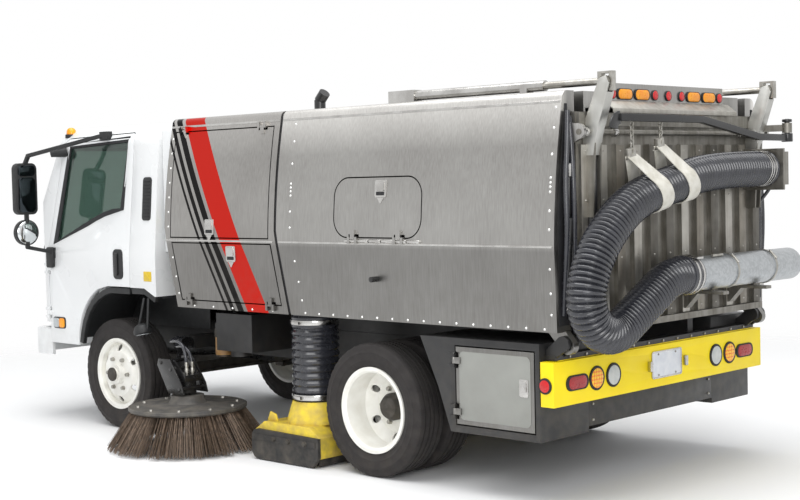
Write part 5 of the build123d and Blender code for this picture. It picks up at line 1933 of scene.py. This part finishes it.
        # name, body or "" for the door, finish, lowest and highest corner, their radius, offsets, rounding
        plates = (
            ("door_handle", "", TRIM_BLACK, (84, 1112), (200, 1330), 34, (-3, 8), 4),
            ("door_grip", "", GLOSS_BLACK, (100, 1135), (150, 1308), 20, (6, 20), 6),
            ("cab_vent", "cab", TRIM_BLACK, (424, 1538), (524, 1846), 26, (-3, 7), 4),
            ("cab_reflector", "cab", AMBER_MARK, (446, 1106), (536, 1176), 5, (-1, 3), 1),
            ("side_lamp_rim", "", TRIM_BLACK, (-722, 712), (-560, 800), 24, (-3, 7), 3),
            ("side_lamp_clear", "", CLEAR, (-714, 720), (-640, 792), 20, (5, 14), 5),
            ("side_lamp_amber", "", AMBER, (-638, 720), (-568, 792), 20, (5, 14), 5),
            ("mirror_bracket", "", TRIM_BLACK, (-764, 1176), (-676, 1334), 18, (0, 30), 10))
        for side in Side:
            s = side.sign
            for name, body, finish, low, high, radius, lifts, bevel in plates:
                plate = Shape().on_side(oblong(low, high, radius), self.side, s, *lifts)
                plate.piece("%s_%s" % (name, side.word), finish, body or "cab_door_" + side.word, bevel)
            slats = Shape()
            for z in range(1562, 1816, 25):
                slats.on_side([(438, z), (510, z), (510, z + 9), (438, z + 9)], self.side, s, 5, 11)
            slats.piece("vent_slats_" + side.word, SEAL_BLACK, "cab", 1)
            outline = oblong((640, 1486), (700, 1594), 5)
            mark = Shape().skin([[spot(x, s * y, z) for x, z in outline] for y in (929, 933)])
            mark.piece("shroud_reflector_" + side.word, AMBER_MARK, "chassis", 1)
            self.arch(side)

    def arch(self, side: Side) -> None:
        """Black lip along the wheel arch, on the door ahead and the cab behind, its liner and a work lamp.

        Args:
            side: Side of the truck.
        """
        s = side.sign
        section = [(0.004, 0.0), (0.004, -0.042), (-0.03, -0.042), (-0.03, 0.0)]
        # points of the lip: behind, up; the door's own stretch ends where the door ends
        ahead = (
            (-392, 622), (-372, 700), (-338, 790), (-290, 868), (-225, 940), (-150, 990), (-60, 1030),
            (20, 1048), (262, 1048))
        behind = ((290, 1052), (446, 1052), (574, 996))
        for name, points, body in (("arch_lip", ahead, "cab_door_" + side.word), ("rear_lip", behind, "cab")):
            path = [spot(x, s * 990, z) for x, z in points]
            shape = Shape().sweep(path, [(a * s, b) for a, b in section], Vector((0.35, 0, 1)))
            shape.piece("%s_%s" % (name, side.word), TRIM_BLACK, body, 3)
        liner = Shape()
        rings = []
        for across in (520, 945):
            rings.append(
                [spot(x, s * across, z) for x, z in self.hollow]
                + [spot(x + 3, s * across, z - 4) for x, z in reversed(self.hollow)])
        liner.skin(rings)
        wall = [point for point in self.hollow if point[1] > 730]
        liner.prism(
            [spot(x, s * 520, z) for x, z in wall + [(wall[-1][0], 730), (wall[0][0], 730)]],
            Vector((0, s * 0.004, 0)))
        liner.piece("arch_liner_" + side.word, TRIM_BLACK, "cab", 1)
        bell = [(0, 0), (56, 0), (66, 8), (66, 30), (52, 62), (26, 78), (0, 80)]
        where = spot(452, s * 1024, 728)
        tip = Vector((0.22, 0, 1)).normalized()
        lamp = Shape().lathe(where, tip, bell, 32)
        for x in (402, 504):
            lamp.rod(spot(x, s * 1024, 772), spot(452 + (x - 452) * 0.5, s * 988, 985), 9)
        lamp.piece("work_lamp_" + side.word, TRIM_BLACK, "cab", 2)
        glass = [(0, -6), (50, -3), (50, 4), (0, 4)]
        Shape().lathe(where, tip, glass, 32).piece("work_lamp_glass_" + side.word, CLEAR, "cab")

    def mirrors(self) -> None:
        """Mirror heads and arms with softened edges, their glass and the foot on the pillar."""
        for side in Side:
            s = side.sign
            door = "cab_door_" + side.word
            softened("mirror_" + side.word, TRIM_BLACK, 9, door)
            glass = Shape()
            y = s * 1250
            for outline in (
                    oblong((y - 74, 1608), (y + 74, 1868), 36), oblong((y - 74, 1878), (y + 74, 1958), 30)):
                glass.on_back(outline, -642, -637)
            # dark glass: painted reflection of dark surroundings
            glass.piece("mirror_glass_" + side.word, MIRROR_PAINTED_DARK, door, 1)
            bowl = [(0, 16), (30, 14.5), (60, 10.5), (84, 4), (88, 0), (0, -2)]
            rim = [(84, 2), (96, 2), (98, -10), (90, -30), (84, -30)]
            for name, profile, finish in (("round_glass_", bowl, CHROME), ("round_rim_", rim, TRIM_BLACK)):
                Shape().lathe(
                    spot(-650, y, 1455), REARWARD, profile, 40).piece(name + side.word, finish, door)
            foot = Shape().rod(spot(-575, s * 930, 2065), spot(-640, s * 1035, 2040), 50, 22)
            foot.piece("mirror_foot_" + side.word, TRIM_BLACK, door, 6)

    def cushion(self, name: str, low: Sequence[float], high: Sequence[float], lean: float) -> None:
        """Crowned seat cushion whose sides pull in between its corners, with two sewn channels.

        Args:
            name: Name of the cushion.
            low: Lowest corner: behind, across, up.
            high: Highest corner.
            lean: How far the top leans back over its height.
        """
        bm = bmesh.new()
        bmesh.ops.create_cube(bm, size=2.0)
        bmesh.ops.subdivide_edges(bm, edges=bm.edges, cuts=9, use_grid_fill=True)
        mids = [(a + b) / 2 for a, b in zip(low, high)]
        spans = [(b - a) / 2 for a, b in zip(low, high)]
        for vert in bm.verts:
            u, v, w = vert.co
            pull = [
                1 - 0.05 * (1 - v * v) * (1 - w * w), 1 - 0.05 * (1 - u * u) * (1 - w * w),
                1 + 0.05 * (1 - u * u) * (1 - v * v)]
            rounding = 1 - 0.07 * max(0.0, abs(u) + abs(v) + abs(w) - 2.2)
            crease = 0.035 if min(abs(v - 0.42), abs(v + 0.42)) < 0.07 and abs(u) < 0.95 else 0.0
            x = mids[0] + spans[0] * u * pull[0] * rounding * (1 - crease) + lean * (w + 1) / 2
            y = mids[1] + spans[1] * v * pull[1] * rounding
            z = mids[2] + spans[2] * w * pull[2] * rounding * (1 - crease)
            vert.co = spot(x, y, z)
        bmesh.ops.recalc_face_normals(bm, faces=bm.faces)
        made = settle(plain(bm, name), name, SEAT_CLOTH, "cab", sharp=70.0)
        soft = made.modifiers.new("round", "SUBSURF")
        soft.levels = 1
        soft.render_levels = 1

    def inside(self) -> None:
        """Seats, dashboard and steering wheel."""
        for name, y, half in (("right_seat", -620, 226), ("middle_seat", 0, 196), ("left_seat", 500, 226)):
            self.cushion(name + "_base", (-158, y - half, 1150), (330, y + half, 1325), 0)
            self.cushion(name + "_back", (262, y - half, 1310), (372, y + half, 1795), 84)
            self.cushion(name + "_rest", (398, y - 125, 1800), (462, y + 125, 1955), 20)
            foot = Shape().box(spot(-140, y - half + 30, 1101), spot(310, y + half - 30, 1160))
            foot.piece(name + "_foot", INSIDE_GREY, "cab", 10, replaces=["cab_interior"] if y == 0 else [])
        section = (
            (-940, 1110), (-960, 1240), (-930, 1290), (-800, 1325), (-690, 1290), (-645, 1235), (-700, 1110))
        dash = Shape().skin([[spot(x, y, z) for x, z in section] for y in (-860, -400, 0, 400, 860)])
        dash.piece("dashboard", INSIDE_GREY, "cab", 12)
        hub = spot(-380, 500, 1420)
        tilt = Vector((-220, 0, 320)).normalized()
        wheel = Shape()
        one = Vector((0, 1, 0))
        two = tilt.cross(one)
        rings = []
        for i in range(48):
            t = 2 * math.pi * i / 48
            out = math.cos(t) * one + math.sin(t) * two
            rings.append(
                [hub + out * (0.2 + 0.016 * math.cos(a)) + tilt * 0.016 * math.sin(a)
                for a in (2 * math.pi * k / 10 for k in range(10))])
        wheel.skin(rings, round_path=True)
        for turn in (90, 210, 330):
            t = math.radians(turn)
            wheel.rod(hub, hub + 0.195 * (math.cos(t) * one + math.sin(t) * two), 15, 12, 12)
        wheel.rod(hub - tilt * 0.03, hub + tilt * 0.02, 60, 45)
        wheel.rod(spot(-700, 500, 1200), hub, 32, 28)
        wheel.piece("steering_wheel", TRIM_BLACK, "cab", 2, 50.0)

    def build(self) -> None:
        """Build the cab."""
        self.shell()
        self.seals()
        self.front()
        self.doors()
        self.mirrors()
        self.inside()


# Studio

@dataclass
class Studio:
    """Camera at the photograph's place, plain floor and soft light."""

    place: tuple[float, float, float] = (8891.0, 7155.0, 1782.0)
    yaw: float = -46.16
    pitch: float = -2.76
    roll: float = -1.36
    lens: float = 65.18

    def camera(self) -> None:
        """Stand the camera where the photograph was taken."""
        yaw, pitch, roll = (math.radians(v) for v in (self.yaw, self.pitch, self.roll))
        ahead = Vector((math.cos(pitch) * math.cos(yaw), math.cos(pitch) * math.sin(yaw), math.sin(pitch)))
        level = Vector((math.sin(yaw), -math.cos(yaw), 0))
        over = level.cross(ahead)
        right = math.cos(roll) * level + math.sin(roll) * over
        up = -math.sin(roll) * level + math.cos(roll) * over
        lens = bpy.data.cameras.new("camera")
        lens.sensor_width = 36
        lens.sensor_fit = "HORIZONTAL"
        lens.lens = self.lens
        made = stand("camera", lens)
        turn = Matrix((right, up, -ahead)).transposed().to_4x4()
        made.matrix_world = Matrix.Translation(spot(*self.place)) @ turn
        bpy.context.scene.camera = made

    def lamps(self) -> None:
        """Hang one wide lamp above and a softer one beside the camera."""
        # name, place, aim, width in metres, power in watts
        for name, place, aim, size, power in (
                ("sky", (-1.0, 1.5, 9.0), (0.0, 0.0, 0.8), 9.0, 900.0),
                ("fill", (-9.0, 8.0, 4.5), (0.0, 0.0, 1.2), 5.0, 420.0)):
            light = bpy.data.lights.new(name, "AREA")
            light.size = size
            light.energy = power
            made = stand(name, light)
            made.location = place
            made.rotation_euler = (Vector(aim) - Vector(place)).to_track_quat("-Z", "Y").to_euler()

    def world(self) -> None:
        """Light from all round, and white for what looks past the truck."""
        world = bpy.data.worlds.new("studio")
        bpy.context.scene.world = world
        world.use_nodes = True
        tree = world.node_tree
        tree.nodes.clear()
        path = put(tree, "LightPath").node.outputs
        seen = put(tree, "Math", {0: path["Is Camera Ray"], 1: path["Is Glossy Ray"]}, operation="MAXIMUM")
        seen = put(tree, "Math", {0: seen, 1: path["Is Transmission Ray"]}, operation="MAXIMUM")
        soft = put(tree, "Background", {0: linear("#F4F6F8"), 1: 0.62})
        white = put(tree, "Background", {0: (1, 1, 1, 1), 1: 1.0})
        mixed = put(tree, "MixShader", {0: seen, 1: soft, 2: white})
        put(tree, "OutputWorld", {0: mixed})

    def floor(self) -> None:
        """Pale floor that fades out away from the truck."""
        mesh = bpy.data.meshes.new("floor")
        reach = 14.0
        mesh.from_pydata(
            [(-reach, -reach, 0), (reach, -reach, 0), (reach, reach, 0), (-reach, reach, 0)], [],
            [(0, 1, 2, 3)])
        made = stand("floor", mesh)
        paint = bpy.data.materials.new("pale_floor")
        paint.use_nodes = True
        tree = paint.node_tree
        shader = tree.nodes["Principled BSDF"]
        shader.inputs["Base Color"].default_value = linear("#F6F6F6")
        shader.inputs["Roughness"].default_value = 0.9
        place = put(tree, "TexCoord", out="Object")
        away = put(tree, "VectorMath", {0: place}, operation="LENGTH", out="Value")
        gone = put(tree, "MapRange", {0: away, 1: 4.2, 2: 8.0}, interpolation_type="SMOOTHSTEP")
        clear = put(tree, "BsdfTransparent")
        mixed = put(tree, "MixShader", {0: gone, 1: shader.outputs[0], 2: clear})
        tree.links.new(mixed, tree.nodes["Material Output"].inputs[0])
        mesh.materials.append(paint)

    def build(self) -> None:
        """Set up the whole studio."""
        bpy.context.scene.view_settings.view_transform = "Standard"
        self.camera()
        self.lamps()
        self.world()
        self.floor()


def paint_frame() -> None:
    """Give the solids that no sub-assembly dresses their finish."""
    dress(FRAME_BLACK, "frame", "side_tanks")
    dress(TRIM_STEEL, "door_cylinders")
    dress(GLOSS_BLACK, "power_unit", "engine_and_gearbox")
    dress(CAST_GREY, "axles_and_springs", "knuckle_left", "knuckle_right")
    dress(HOSE_BLACK, "head_hoses")
    dress(SEAL_BLACK, "hopper_seal")
    dress(ZINC, "door_rods")
    dress(WHEEL_WHITE, "front_wheel_left", "front_wheel_right", "rear_wheels_left", "rear_wheels_right")


def main() -> None:
    """Dress the truck and set up its studio."""
    logging.basicConfig(level=logging.INFO, format="%(message)s")
    Studio().build()
    paint_frame()
    for part in (
            Brooms(), WanderHose(), Wheels(), Cab(), BodyTrim(), RearEnd(), Toolboxes(), PickupHead(),
            Underbody()):
        part.build()


if __name__ == "__main__":
    main()
